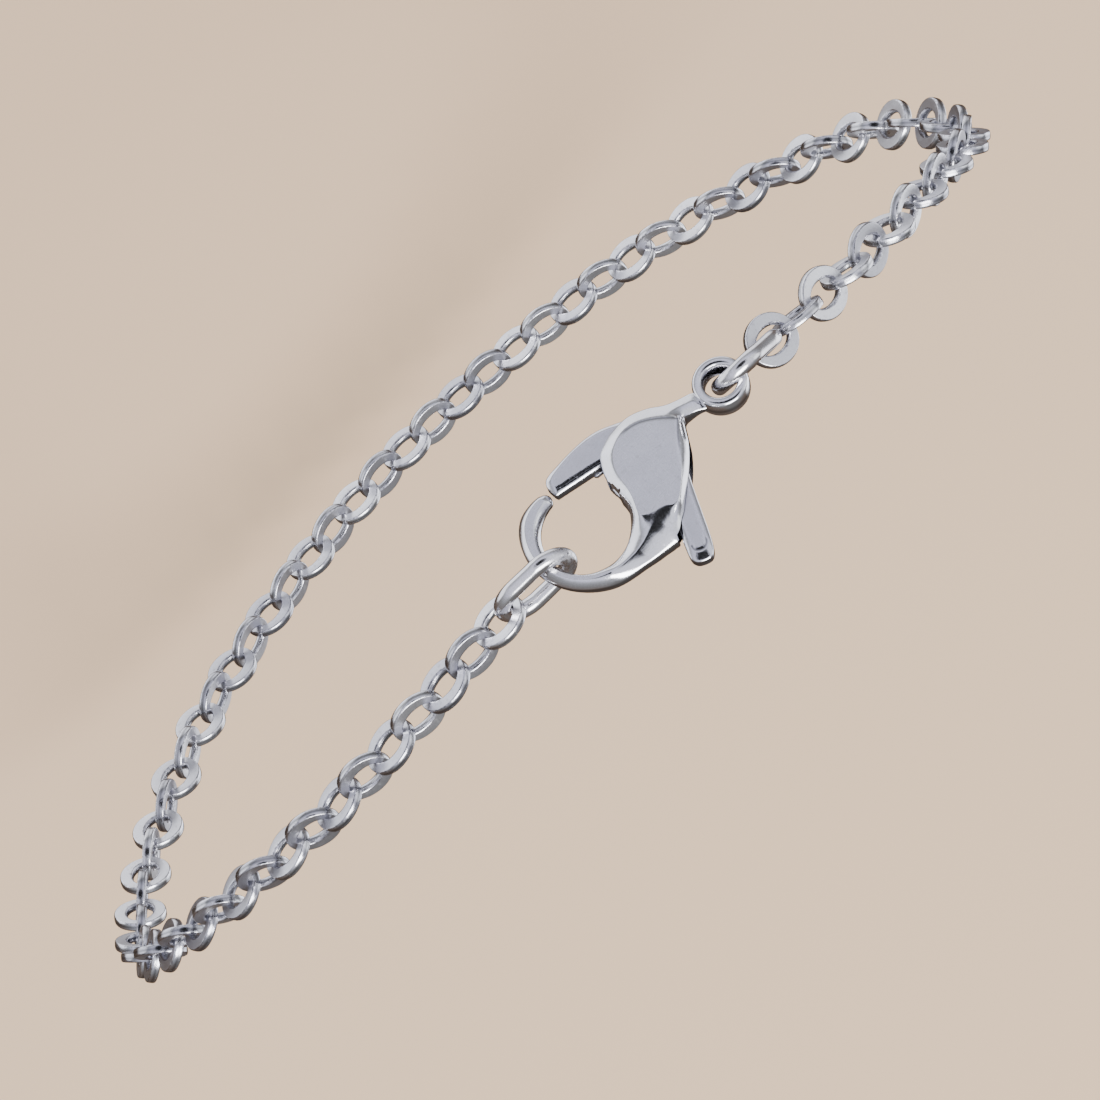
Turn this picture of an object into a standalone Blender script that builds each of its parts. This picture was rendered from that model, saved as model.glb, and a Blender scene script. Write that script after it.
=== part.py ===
"""Cable chain bracelet, closed in a loop by a trigger clasp.

World axes: +Z up through the clasp, +X across the loop from the claw to the
clasp's ring, +Y along the axis of the loop.  The origin is the middle of the
loop's opening.  Lengths below are in millimetres, angles in degrees.
"""
import math

import bmesh
import bpy
from mathutils import Matrix, Vector

MM = 0.001
SEARCH_STEPS = 36

# Chain: flattened oval links, each turned a quarter against the next.
LINK_COUNT = 76
LINK_LENGTH = 2.86
LINK_WIDTH = 2.62
LINK_END_BAND = 0.48
LINK_SIDE_BAND = 0.68
LINK_THICKNESS = 0.44
LINK_SIDES = 12
WIRE_SIDES = 6
LINK_SEAT = 0.05

# Roll of a link's face from the loop's outward side, towards +Y.  Beside the
# ring the chain hangs from an edge-on link and turns back to its usual roll.
USUAL_ROLL = 49.0
RING_SIDE_ROLL = 4.0
ROLL_PER_LINK = 7.0

# Route of the chain: an oval seen along +Y, flatter than a circle.  The points
# say how far it leans along the loop's axis, as shares of the oval's half width,
# at angles measured from the top towards +X.
LOOP_FLATNESS = 0.804
LEAN_POINTS = [
    (-150, 0.258), (-125, 0.136), (-108, 0.056), (-95, 0.016), (-80, 0.0),
    (-62, -0.019), (-45, -0.031), (-30, -0.021), (-16, -0.004), (0, 0.010),
    (17, 0.007), (25, 0.001), (34, -0.003), (45, -0.001), (60, 0.004), (72, 0.010),
    (80, 0.028), (90, 0.073), (100, 0.122), (125, 0.223), (150, 0.306),
    (180, 0.334),
]

# Round-wire links that join the chain to the clasp.
END_LINK_LENGTH = 4.7
END_LINK_WIDTH = 3.3
END_LINK_WIRE = 0.84
END_LINK_POINTS = 20
CLAW_LINK_ROLL = -63.0
RING_LINK_ROLL = 90.0
END_GAP = 0.06
CLAW_GAP = 0.22
RING_GAP = 0.18
RING_HANG = 0.26
RING_SIDE_SLACK = 0.45

# Clasp, in its own plane: x towards the ring, y away from the trigger's tail.
CLASP_ROLL = 25.0
CLASP_OFFSET = 0.78
CLASP_LIFT = 0.7
CLASP_THICKNESS = 2.2
BODY_LENGTH = 5.0
BODY_WIDTH = 6.1
BODY_BEVEL = 0.22
EYE_RADIUS = 2.25
EYE_BELOW_MIDDLE = 0.5
HOOK_WIDTH = 0.82
RING_RADIUS = 1.35
RING_HOLE_RADIUS = 0.785
RING_THICKNESS = 1.2
RING_REACH = 2.06
HOOK_STEPS = 22
EYE_STEPS = 30

# Width of the hook round the eye, as shares of its width, at angles about the
# eye's centre from the tip, over the left and down to the heel.
HOOK_WIDTHS = [
    (92, 0.90), (106, 1.12), (122, 1.28), (150, 1.15), (180, 1.00), (205, 0.92),
    (228, 0.92), (252, 1.06), (276, 1.28), (292, 1.85), (301, 2.40),
]
# Reach of the eye from its centre, as shares of its radius, from the body's side
# clockwise round to the tip.
EYE_REACH = [
    (0, 0.94), (20, 0.92), (45, 0.92), (65, 0.95), (85, 1.0), (268, 1.0),
]
# Edge of the body plates, as shares of body length from the eye's right side
# and of body width from the middle line: heel and lower edge, then upper edge.
BODY_LOWER_EDGE = [
    (-0.01, -0.680), (0.075, -0.662), (0.17, -0.602), (0.405, -0.450), (0.595, -0.330),
    (0.76, -0.193), (0.88, -0.050), (0.93, 0.000),
]
BODY_UPPER_EDGE = [
    (0.905, 0.188), (0.765, 0.264), (0.57, 0.322), (0.35, 0.320), (0.265, 0.303),
    (0.15, 0.262), (0.085, 0.200), (0.025, 0.120), (-0.01, 0.045),
]
# Edge of the neck, as shares of the ring's reach from the body's end and of the
# ring's radius from the middle line: out along its lower side, back along the other.
NECK_EDGE = [
    (0.0, -0.03), (0.22, -0.13), (0.36, -0.25), (0.50, -0.32),
    (0.50, 0.46), (0.36, 0.60), (0.19, 0.66), (0.0, 0.73),
]
# Thickness of the hook, as shares of the clasp's, at angles round the eye, of the
# body, at shares of its length from the eye, and of the neck, at shares of its reach.
HOOK_TAPER = [
    (92, 0.40), (130, 0.44), (180, 0.46), (215, 0.54), (250, 0.68), (280, 0.84), (303, 0.93),
]
BODY_TAPER = [(0.0, 0.93), (0.3, 0.98), (0.6, 1.0), (0.88, 0.84), (1.0, 0.70)]
NECK_TAPER = [(0.0, 0.70), (0.25, 0.58), (0.55, 0.44)]

# Lever: gate and trigger in one piece, between the two plates.
LEVER_THICKNESS = 0.8
LEVER_GAP = 0.06
LEVER_SIDE_GAP = 0.14
LEVER_BEVEL = 0.1
HUB_RADIUS = 0.9
HUB_ARC = (-20, 80)
HUB_SLOT_ARC = (-14, 84)
HUB_STEPS = 6
PIN_RADIUS = 0.4
PIN_GAP = 0.07
PIVOT = (0.59, 0.057)
GATE_EDGE = [
    (0.555, 0.352), (0.48, 0.387), (0.335, 0.446), (0.19, 0.475), (0.01, 0.484),
    (-0.17, 0.479), (-0.335, 0.464), (-0.39, 0.418), (-0.40, 0.335), (-0.395, 0.302),
    (-0.185, 0.262), (0.075, 0.211), (0.235, 0.164), (0.35, 0.082),
]
TAIL_EDGE = [
    (0.39, -0.033), (0.365, -0.164), (0.27, -0.328), (0.16, -0.492), (0.075, -0.639),
    (0.005, -0.750), (-0.045, -0.857), (-0.02, -0.916), (0.085, -0.957), (0.15, -0.933),
    (0.23, -0.844), (0.345, -0.672), (0.44, -0.525), (0.505, -0.426), (0.58, -0.320),
    (0.68, -0.197), (0.75, -0.060),
]
# Slot between the plates: the side towards the eye, and the open lower side.
SLOT_EYE_SIDE = [
    (-0.12, 0.025), (0.12, 0.036), (0.22, 0.033), (0.30, 0.0), (0.335, -0.041),
    (0.325, -0.156), (0.23, -0.320), (0.12, -0.484), (0.04, -0.639), (-0.03, -0.754),
]
SLOT_LOWER_SIDE = [(0.96, -0.754), (0.96, -0.123)]
SLOT_UPPER_SIDE = [(0.58, 0.39), (0.58, 0.54), (-0.12, 0.54)]


def blend_table(table, place):
    """Read a table of (place, value) rows on a smooth curve through them."""
    if place <= table[0][0]:
        return table[0][1]
    for row in range(len(table) - 1):
        left, right = table[row], table[row + 1]
        if place <= right[0]:
            step = right[0] - left[0]
            before = table[max(row - 1, 0)]
            after = table[min(row + 2, len(table) - 1)]
            slope_left = (right[1] - before[1]) / (right[0] - before[0])
            slope_right = (after[1] - left[1]) / (after[0] - left[0])
            t = (place - left[0]) / step
            return (
                (1 + 2 * t) * (1 - t) ** 2 * left[1]
                + t * (1 - t) ** 2 * step * slope_left
                + t * t * (3 - 2 * t) * right[1]
                + t * t * (t - 1) * step * slope_right
            )
    return table[-1][1]


def lean_share(angle):
    """Lean of the route along the loop's axis at an angle from the top, in degrees."""
    whole_turn = 360
    rows = [(a - whole_turn, s) for a, s in LEAN_POINTS[-3:]]
    rows += LEAN_POINTS
    rows += [(a + whole_turn, s) for a, s in LEAN_POINTS[:3]]
    half_turn = whole_turn / 2
    return blend_table(rows, (angle + half_turn) % whole_turn - half_turn)


def route(half_width, angle):
    """Point of the chain's route at an angle from the top, in degrees."""
    turn = math.radians(angle)
    return Vector((
        half_width * math.sin(turn),
        half_width * lean_share(angle),
        half_width * LOOP_FLATNESS * math.cos(turn),
    ))


def outward(half_width, angle):
    """Direction that points straight out of the loop there."""
    turn = math.radians(angle)
    return Vector((math.sin(turn), 0, math.cos(turn) / LOOP_FLATNESS)).normalized()


def angle_at_distance(half_width, point, distance, angle, way):
    """Angle, from the given one onwards, where the route is that far from point."""
    reach = way * math.degrees(2 * distance / half_width)
    near, far = angle, angle + reach
    for _ in range(SEARCH_STEPS):
        middle = (near + far) / 2
        if (route(half_width, middle) - point).length < distance:
            near = middle
        else:
            far = middle
    return (near + far) / 2


def clasp_matrix(half_width):
    """Place of the clasp: its middle line lies level, a little above the chain's oval."""
    half_span = ring_centre_x() + RING_HOLE_RADIUS
    height = half_width * LOOP_FLATNESS * math.sqrt(1 - (half_span / half_width) ** 2)
    place = Vector((CLASP_OFFSET, half_width * lean_share(0), height + CLASP_LIFT))
    return Matrix.Translation(place) @ Matrix.Rotation(math.radians(-CLASP_ROLL), 4, "X")


def claw_contact(half_width):
    """Where the claw's inside carries its end link."""
    point = Vector((eye_centre_x() - EYE_RADIUS + CLAW_GAP, -EYE_BELOW_MIDDLE, 0))
    return clasp_matrix(half_width) @ point


def ring_contact(half_width):
    """Where the clasp's ring carries its end link, which hangs from the rim above."""
    level = -RING_HANG * math.tan(math.radians(CLASP_ROLL))
    point = Vector((ring_centre_x() + RING_HOLE_RADIUS - RING_GAP, level, RING_HANG))
    return clasp_matrix(half_width) @ point


def end_link_inside():
    return END_LINK_LENGTH - 2 * END_LINK_WIRE


def angle_above(half_width, point):
    """Angle of the route's upper half that lies over or under a point."""
    return math.degrees(math.asin(point.x / half_width))


def chain_start(half_width):
    """Angle where the first link hangs in the ring's end link."""
    contact = ring_contact(half_width)
    distance = end_link_inside() - RING_SIDE_SLACK
    return angle_at_distance(half_width, contact, distance, angle_above(half_width, contact), 1)


def chain_end(half_width):
    """Angle where the last link hangs in the claw's end link."""
    contact = claw_contact(half_width)
    distance = end_link_inside() - END_GAP
    return angle_at_distance(half_width, contact, distance, angle_above(half_width, contact), -1)


def link_pitch():
    return LINK_LENGTH - 2 * LINK_END_BAND + LINK_SEAT


def chain_angles(half_width):
    """Angles of the seats between the links, from the ring round to the claw."""
    angles = [chain_start(half_width)]
    for _ in range(LINK_COUNT):
        seat = route(half_width, angles[-1])
        angles.append(angle_at_distance(half_width, seat, link_pitch(), angles[-1], 1))
    return angles


def fitted_half_width():
    """Half width of the loop that the links just fill."""
    around = LINK_COUNT * link_pitch()
    low, high = around / 8, around / 3
    for _ in range(SEARCH_STEPS):
        middle = (low + high) / 2
        if chain_angles(middle)[-1] > chain_end(middle) + 360:
            low = middle
        else:
            high = middle
    return (low + high) / 2


def link_roll(index):
    """Roll of a link, in degrees, counted from the ring's side."""
    turned = RING_SIDE_ROLL + ROLL_PER_LINK * index
    if index % 2:
        return max(USUAL_ROLL, 90 - turned)
    return -min(USUAL_ROLL, turned)


def link_matrix(half_width, start, end, angle, roll):
    """Place of a link whose hole spans two points, with its face rolled."""
    along = (end - start).normalized()
    out = outward(half_width, angle)
    out = (out - along * out.dot(along)).normalized()
    side = out.cross(along)
    turn = math.radians(roll)
    face = out * math.cos(turn) + side * math.sin(turn)
    rows = Matrix((along, face.cross(along), face)).transposed().to_4x4()
    return Matrix.Translation((start + end) / 2) @ rows


def metal(name, colour, roughness):
    """Polished white metal."""
    material = bpy.data.materials.new(name)
    material.use_nodes = True
    shader = material.node_tree.nodes["Principled BSDF"]
    shader.inputs["Base Color"].default_value = (*colour, 1.0)
    shader.inputs["Metallic"].default_value = 1.0
    shader.inputs["Roughness"].default_value = roughness
    material.diffuse_color = (*colour, 1.0)
    return material


def add_object(name, data, collection, material=None):
    thing = bpy.data.objects.new(name, data)
    collection.objects.link(thing)
    if material:
        data.materials.append(material)
    return thing


def as_cutter(thing):
    thing.hide_render = True
    thing.display_type = "WIRE"
    return thing


def add_boolean(thing, operation, other, solver="MANIFOLD"):
    modifier = thing.modifiers.new(operation.lower(), "BOOLEAN")
    modifier.operation = operation
    modifier.solver = solver
    modifier.object = other


def plate_curve(name, outline, thickness, bevel):
    """Closed flat outline, thickened both ways, with its edges rounded inwards."""
    curve = bpy.data.curves.new(name, "CURVE")
    curve.dimensions = "2D"
    curve.fill_mode = "BOTH"
    curve.extrude = (thickness / 2 - bevel) * MM
    curve.bevel_depth = bevel * MM
    curve.bevel_resolution = 1
    curve.offset = -bevel * MM
    spline = curve.splines.new("POLY")
    spline.points.add(len(outline) - 1)
    for point, (x, y) in zip(spline.points, outline):
        point.co = (x * MM, y * MM, 0, 1)
    spline.use_cyclic_u = True
    return curve


def mesh_from_curve(name, curve, collection):
    """Closed mesh of a curve, its caps welded on."""
    source = add_object(name + "_outline", curve, collection)
    evaluated = source.evaluated_get(bpy.context.evaluated_depsgraph_get())
    mesh = bpy.data.meshes.new_from_object(evaluated)
    mesh.name = name
    bpy.data.objects.remove(source)
    shape = bmesh.new()
    shape.from_mesh(mesh)
    bmesh.ops.remove_doubles(shape, verts=shape.verts, dist=0.002 * MM)
    bmesh.ops.recalc_face_normals(shape, faces=shape.faces)
    shape.to_mesh(mesh)
    shape.free()
    return mesh


def body_left():
    """Where the body meets the eye; the clasp's middle lies between its contacts."""
    return EYE_RADIUS - (BODY_LENGTH + RING_REACH + RING_HOLE_RADIUS) / 2


def eye_centre_x():
    return body_left() - EYE_RADIUS


def ring_centre_x():
    return body_left() + BODY_LENGTH + RING_REACH


def body_point(along, across):
    """Point of the clasp's plane, from shares of the body's length and width."""
    return (body_left() + along * BODY_LENGTH, across * BODY_WIDTH)


def neck_point(along, across):
    """Point of the clasp's plane, from shares of the ring's reach and radius."""
    return (body_left() + BODY_LENGTH + along * RING_REACH, across * RING_RADIUS)


def polar_point(centre, radius, angle):
    turn = math.radians(angle)
    return (centre[0] + radius * math.cos(turn), centre[1] + radius * math.sin(turn))


def arc(centre, radius, start, end, steps):
    """Points of an arc, from one angle to another."""
    angles = [start + (end - start) * step / steps for step in range(steps + 1)]
    return [polar_point(centre, radius, angle) for angle in angles]


def clasp_outline():
    """Edge of the plates: round the hook, along the body and back by the eye."""
    centre = (eye_centre_x(), -EYE_BELOW_MIDDLE)
    tip, heel = HOOK_WIDTHS[0][0], HOOK_WIDTHS[-1][0]
    outside = []
    for step in range(HOOK_STEPS + 1):
        angle = tip + (heel - tip) * step / HOOK_STEPS
        radius = EYE_RADIUS + HOOK_WIDTH * blend_table(HOOK_WIDTHS, angle)
        outside.append(polar_point(centre, radius, angle))
    lower = [body_point(*share) for share in BODY_LOWER_EDGE]
    neck = [neck_point(*share) for share in NECK_EDGE]
    upper = [body_point(*share) for share in BODY_UPPER_EDGE]
    inside = []
    for step in range(EYE_STEPS + 1):
        turned = (360 - tip) * step / EYE_STEPS
        radius = EYE_RADIUS * blend_table(EYE_REACH, turned)
        inside.append(polar_point(centre, radius, -turned))
    return outside + lower + neck + upper + inside


def taper_share(x, y):
    """Thickness of the clasp at a point of its plane, as a share of the whole."""
    body_right = body_left() + BODY_LENGTH
    if x > body_right:
        return blend_table(NECK_TAPER, (x - body_right) / RING_REACH)
    if x > body_left():
        return blend_table(BODY_TAPER, (x - body_left()) / BODY_LENGTH)
    angle = math.degrees(math.atan2(y + EYE_BELOW_MIDDLE, x - eye_centre_x()))
    return blend_table(HOOK_TAPER, angle % 360)


def taper_clasp(mesh):
    """Thin the plates towards the hook's tip and the neck."""
    shape = bmesh.new()
    shape.from_mesh(mesh)
    cuts = [body_point(share, 0) for share, _ in BODY_TAPER]
    cuts += [neck_point(share, 0) for share, _ in NECK_TAPER[1:-1]]
    for x, _ in cuts:
        bmesh.ops.bisect_plane(
            shape,
            geom=shape.verts[:] + shape.edges[:] + shape.faces[:],
            plane_co=(x * MM, 0, 0),
            plane_no=(1, 0, 0),
            dist=0.001 * MM,
        )
    for vertex in shape.verts:
        vertex.co.z *= taper_share(vertex.co.x / MM, vertex.co.y / MM)
    bmesh.ops.triangulate(shape, faces=shape.faces)
    shape.to_mesh(mesh)
    shape.free()


def lever_outline():
    pivot = body_point(*PIVOT)
    gate = [body_point(*share) for share in GATE_EDGE]
    tail = [body_point(*share) for share in TAIL_EDGE]
    outline = gate + tail + arc(pivot, HUB_RADIUS, *HUB_ARC, HUB_STEPS)
    return [(x - pivot[0], y - pivot[1]) for x, y in outline]


def slot_outline():
    eye_side = [body_point(*share) for share in SLOT_EYE_SIDE]
    lower_side = [body_point(*share) for share in SLOT_LOWER_SIDE]
    upper_side = [body_point(*share) for share in SLOT_UPPER_SIDE]
    hub = arc(body_point(*PIVOT), HUB_RADIUS + LEVER_SIDE_GAP, *HUB_SLOT_ARC, HUB_STEPS)
    return eye_side + lower_side + hub + upper_side


def add_pin_mesh(name, radius, length, sides=16):
    mesh = bpy.data.meshes.new(name)
    shape = bmesh.new()
    bmesh.ops.create_cone(
        shape, cap_ends=True, segments=sides,
        radius1=radius * MM, radius2=radius * MM, depth=length * MM,
    )
    shape.to_mesh(mesh)
    shape.free()
    return mesh


def add_clasp_body(parts, cutters, clasp, material):
    """Hook, two plates, neck and ring in one casting, with the rivet in it."""
    curve = plate_curve("clasp_body", clasp_outline(), CLASP_THICKNESS, BODY_BEVEL)
    mesh = mesh_from_curve("clasp_body", curve, cutters)
    taper_clasp(mesh)
    body = add_object("clasp_body", mesh, parts, material)
    body.parent = clasp

    slot_thickness = LEVER_THICKNESS + 2 * LEVER_GAP
    slot_curve = plate_curve("slot", slot_outline(), slot_thickness, 0)
    slot = as_cutter(add_object("slot", mesh_from_curve("slot", slot_curve, cutters), cutters))
    slot.parent = clasp
    add_boolean(body, "DIFFERENCE", slot)

    wire = (RING_RADIUS - RING_HOLE_RADIUS) / 2
    bpy.ops.mesh.primitive_torus_add(
        major_segments=24, minor_segments=8,
        major_radius=(RING_RADIUS - wire) * MM, minor_radius=wire * MM,
    )
    ring = bpy.context.object
    ring.name = "clasp_ring"
    ring.users_collection[0].objects.unlink(ring)
    cutters.objects.link(ring)
    ring.data.transform(Matrix.Diagonal((1, 1, RING_THICKNESS / (2 * wire), 1)))
    as_cutter(ring)
    ring.parent = clasp
    ring.location = (ring_centre_x() * MM, 0, 0)
    add_boolean(body, "UNION", ring)

    pivot_x, pivot_y = body_point(*PIVOT)
    plate = CLASP_THICKNESS / 2 - LEVER_THICKNESS / 2 - LEVER_GAP
    pin_mesh = add_pin_mesh("pin", PIN_RADIUS, CLASP_THICKNESS - plate)
    pin = as_cutter(add_object("pin", pin_mesh, cutters))
    pin.parent = clasp
    pin.location = (pivot_x * MM, pivot_y * MM, 0)
    add_boolean(body, "UNION", pin)
    return body


def add_clasp_lever(parts, cutters, clasp, material):
    """Gate and trigger, turning on the rivet; its origin is the rivet's middle."""
    curve = plate_curve("clasp_lever", lever_outline(), LEVER_THICKNESS, LEVER_BEVEL)
    mesh = mesh_from_curve("clasp_lever", curve, cutters)
    lever = add_object("clasp_lever", mesh, parts, material)
    lever.parent = clasp
    pivot_x, pivot_y = body_point(*PIVOT)
    lever.location = (pivot_x * MM, pivot_y * MM, 0)

    bore_mesh = add_pin_mesh("bore", PIN_RADIUS + PIN_GAP, 2 * LEVER_THICKNESS)
    bore = as_cutter(add_object("bore", bore_mesh, cutters))
    bore.parent = clasp
    bore.location = lever.location
    add_boolean(lever, "DIFFERENCE", bore)
    return lever


def end_link_curve(name):
    """Oval of round wire: two half rounds joined by short straight sides."""
    curve = bpy.data.curves.new(name, "CURVE")
    curve.dimensions = "3D"
    curve.bevel_depth = END_LINK_WIRE / 2 * MM
    curve.bevel_resolution = 2
    radius = (END_LINK_WIDTH - END_LINK_WIRE) / 2
    straight = END_LINK_LENGTH - END_LINK_WIDTH
    half = END_LINK_POINTS // 2
    points = arc((straight / 2, 0), radius, -90, 90, half - 1)
    points += arc((-straight / 2, 0), radius, 90, 270, half - 1)
    spline = curve.splines.new("POLY")
    spline.points.add(len(points) - 1)
    for point, (x, y) in zip(spline.points, points):
        point.co = (x * MM, y * MM, 0, 1)
    spline.use_cyclic_u = True
    return curve


def add_end_link(name, parts, half_width, contact, angle, roll, material):
    """Link that hangs in the clasp at contact and runs towards the chain."""
    way = (route(half_width, angle) - contact).normalized()
    far = contact + way * end_link_inside()
    start, end = (contact, far) if way.x > 0 else (far, contact)
    link = add_object(name, end_link_curve(name), parts, material)
    place = link_matrix(half_width, start, end, angle, roll)
    place.translation *= MM
    link.matrix_world = place
    return link


def chain_link_mesh():
    """One link: flat-faced wire, pressed wider at its sides, drawn out to an oval."""
    wire = 0.25
    bpy.ops.mesh.primitive_torus_add(
        major_segments=LINK_SIDES, minor_segments=WIRE_SIDES,
        major_radius=1.0, minor_radius=wire,
    )
    ring = bpy.context.object
    mesh = ring.data
    half_side = math.pi / LINK_SIDES
    flat = math.sin(math.pi / 3)
    for vertex in mesh.vertices:
        x, y, z = vertex.co
        turn = math.atan2(y, x) + half_side
        inwards = (1 - (math.hypot(x, y) - 1.0) / wire) / 2
        reach_x = LINK_LENGTH / 2 - inwards * LINK_END_BAND
        reach_y = LINK_WIDTH / 2 - inwards * LINK_SIDE_BAND
        vertex.co = Vector((
            reach_x * math.cos(turn) / math.cos(half_side),
            reach_y * math.sin(turn) / math.cos(half_side),
            z / wire / flat * LINK_THICKNESS / 2,
        )) * MM
    bpy.data.objects.remove(ring)
    return mesh


def add_links(name, matrices, collection, material=None):
    """Object made of one copy of the link at each place."""
    link = chain_link_mesh()
    shape = bmesh.new()
    for place in matrices:
        copy = link.copy()
        copy.transform(place)
        shape.from_mesh(copy)
        bpy.data.meshes.remove(copy)
    mesh = bpy.data.meshes.new(name)
    shape.to_mesh(mesh)
    shape.free()
    bpy.data.meshes.remove(link)
    return add_object(name, mesh, collection, material)


def add_chain(parts, cutters, half_width, material):
    """All links, each fused to its neighbours where they seat."""
    angles = chain_angles(half_width)
    matrices = []
    for index in range(LINK_COUNT):
        start = route(half_width, angles[index])
        end = route(half_width, angles[index + 1])
        angle = (angles[index] + angles[index + 1]) / 2
        place = link_matrix(half_width, start, end, angle, link_roll(index))
        place.translation *= MM
        matrices.append(place)
    chain = add_links("chain", matrices[0::2], parts, material)
    others = as_cutter(add_links("other_links", matrices[1::2], cutters))
    add_boolean(chain, "UNION", others, "EXACT")
    return chain


def build():
    for thing in list(bpy.data.objects):
        bpy.data.objects.remove(thing)
    parts = bpy.data.collections.new("bracelet")
    cutters = bpy.data.collections.new("cutters")
    bpy.context.scene.collection.children.link(parts)
    bpy.context.scene.collection.children.link(cutters)

    half_width = fitted_half_width()
    place = clasp_matrix(half_width)
    place.translation *= MM
    clasp = bpy.data.objects.new("clasp", None)
    parts.objects.link(clasp)
    clasp.matrix_world = place

    polished = metal("polished_metal", (0.80, 0.80, 0.83), 0.16)
    lever_metal = metal("lever_metal", (0.74, 0.74, 0.78), 0.22)
    add_clasp_body(parts, cutters, clasp, polished)
    add_clasp_lever(parts, cutters, clasp, lever_metal)
    add_end_link(
        "end_link_claw", parts, half_width, claw_contact(half_width),
        chain_end(half_width), CLAW_LINK_ROLL, polished,
    )
    add_end_link(
        "end_link_ring", parts, half_width, ring_contact(half_width),
        chain_start(half_width), RING_LINK_ROLL, polished,
    )
    add_chain(parts, cutters, half_width, polished)


build()
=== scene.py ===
"""Looks of a cable chain bracelet: fine links, round-wire end links and a trigger clasp.

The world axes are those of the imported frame: +Z up through the clasp, +X across the
loop from the claw to the clasp's ring, +Y along the axis of the loop.  The origin is
the middle of the loop's opening.  Lengths are in metres, angles in radians, and the
tables hold shares of the sizes that they name.
"""
import math
import random

import bmesh
import bpy
import numpy as np
from mathutils import Matrix, Vector
from mathutils.geometry import delaunay_2d_cdt


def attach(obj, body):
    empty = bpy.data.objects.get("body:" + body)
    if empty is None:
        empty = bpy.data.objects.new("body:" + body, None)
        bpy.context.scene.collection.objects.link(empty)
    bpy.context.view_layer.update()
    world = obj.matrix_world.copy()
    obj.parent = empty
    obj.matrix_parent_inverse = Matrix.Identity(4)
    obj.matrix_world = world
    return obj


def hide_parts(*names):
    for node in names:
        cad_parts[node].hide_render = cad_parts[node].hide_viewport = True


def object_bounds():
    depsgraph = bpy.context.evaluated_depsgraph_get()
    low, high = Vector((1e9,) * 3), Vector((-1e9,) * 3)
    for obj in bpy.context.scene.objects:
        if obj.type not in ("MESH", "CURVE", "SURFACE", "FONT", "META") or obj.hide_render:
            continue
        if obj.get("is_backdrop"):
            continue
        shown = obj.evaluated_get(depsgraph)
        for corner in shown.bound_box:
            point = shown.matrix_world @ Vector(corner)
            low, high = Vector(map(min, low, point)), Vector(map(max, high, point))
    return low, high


bl_info = {
    "name": "Cable Chain Bracelet",
    "version": (1, 0, 0),
    "blender": (4, 5, 0),
    "location": "3D View > Sidebar > Bracelet",
    "description": "Builds the links, the clasp and the studio of a cable chain bracelet",
    "category": "Add Mesh",
}

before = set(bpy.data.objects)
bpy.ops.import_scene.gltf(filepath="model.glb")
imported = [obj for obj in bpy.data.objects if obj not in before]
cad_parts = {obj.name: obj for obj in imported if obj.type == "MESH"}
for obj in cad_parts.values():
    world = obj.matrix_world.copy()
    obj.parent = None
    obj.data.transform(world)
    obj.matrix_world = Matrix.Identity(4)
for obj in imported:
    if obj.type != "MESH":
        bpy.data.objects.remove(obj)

MM = 0.001
SEARCH_STEPS = 36

# Lean of the chain's route along the loop's axis, as shares of its half width, at
# degrees from the top towards +X.
LEAN_POINTS = [
    (-150, 0.258), (-125, 0.136), (-108, 0.056), (-95, 0.016), (-80, 0.0),
    (-62, -0.019), (-45, -0.031), (-30, -0.021), (-16, -0.004), (0, 0.010),
    (17, 0.007), (25, 0.001), (34, -0.003), (45, -0.001), (60, 0.004), (72, 0.010),
    (80, 0.028), (90, 0.073), (100, 0.122), (125, 0.223), (150, 0.306),
    (180, 0.334),
]
# Half section of a link's flattened wire: how far in from the outer edge, as a share
# of the band, and how high, as a share of half the thickness.
LINK_SECTION = [
    (0.0, 0.0), (0.004, 0.42), (0.022, 0.74), (0.06, 0.93), (0.105, 0.995), (0.13, 1.0),
    (0.45, 1.0), (0.78, 1.0), (0.83, 0.985), (0.90, 0.88), (0.965, 0.60), (1.0, 0.0),
]
# Width of the hook round the eye, as shares of its width, at degrees about the eye's
# centre from the tip, over the left and down to the heel.
HOOK_WIDTHS = [
    (92, 0.90), (106, 1.12), (122, 1.28), (150, 1.15), (180, 1.00), (205, 0.92),
    (228, 0.92), (252, 1.06), (276, 1.28), (292, 1.85), (301, 2.40),
]
# Reach of the eye from its centre, as shares of its radius, clockwise to the tip.
EYE_REACH = [
    (0, 0.94), (20, 0.92), (45, 0.90), (65, 0.90), (85, 0.92), (115, 0.96), (145, 1.0),
    (268, 1.0),
]
# Edge of the plates, as shares of the body's length and width: heel and lower edge,
# then upper edge.
BODY_LOWER_EDGE = [
    (-0.01, -0.680), (0.075, -0.662), (0.17, -0.602), (0.405, -0.450), (0.595, -0.330),
    (0.76, -0.193), (0.88, -0.050), (0.93, 0.000),
]
BODY_UPPER_EDGE = [
    (0.905, 0.188), (0.765, 0.264), (0.57, 0.322), (0.35, 0.320), (0.265, 0.303),
    (0.15, 0.262), (0.085, 0.200), (0.025, 0.120), (-0.01, 0.045),
]
# Edge of the neck, as shares of the ring's reach from the body's end and of the
# ring's radius: out along its lower side, back along the other.
NECK_EDGE = [
    (0.0, -0.03), (0.22, -0.13), (0.36, -0.25), (0.50, -0.32),
    (0.50, 0.46), (0.36, 0.60), (0.19, 0.66), (0.0, 0.73),
]
# Thickness of the hook, of the body and of the neck, as shares of the clasp's.
HOOK_TAPER = [
    (92, 0.40), (130, 0.44), (180, 0.46), (215, 0.54), (250, 0.68), (280, 0.84), (303, 0.93),
]
BODY_TAPER = [(0.0, 0.93), (0.3, 0.98), (0.6, 1.0), (0.88, 0.84), (1.0, 0.70)]
NECK_TAPER = [(0.0, 0.70), (0.25, 0.58), (0.55, 0.44)]
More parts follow.
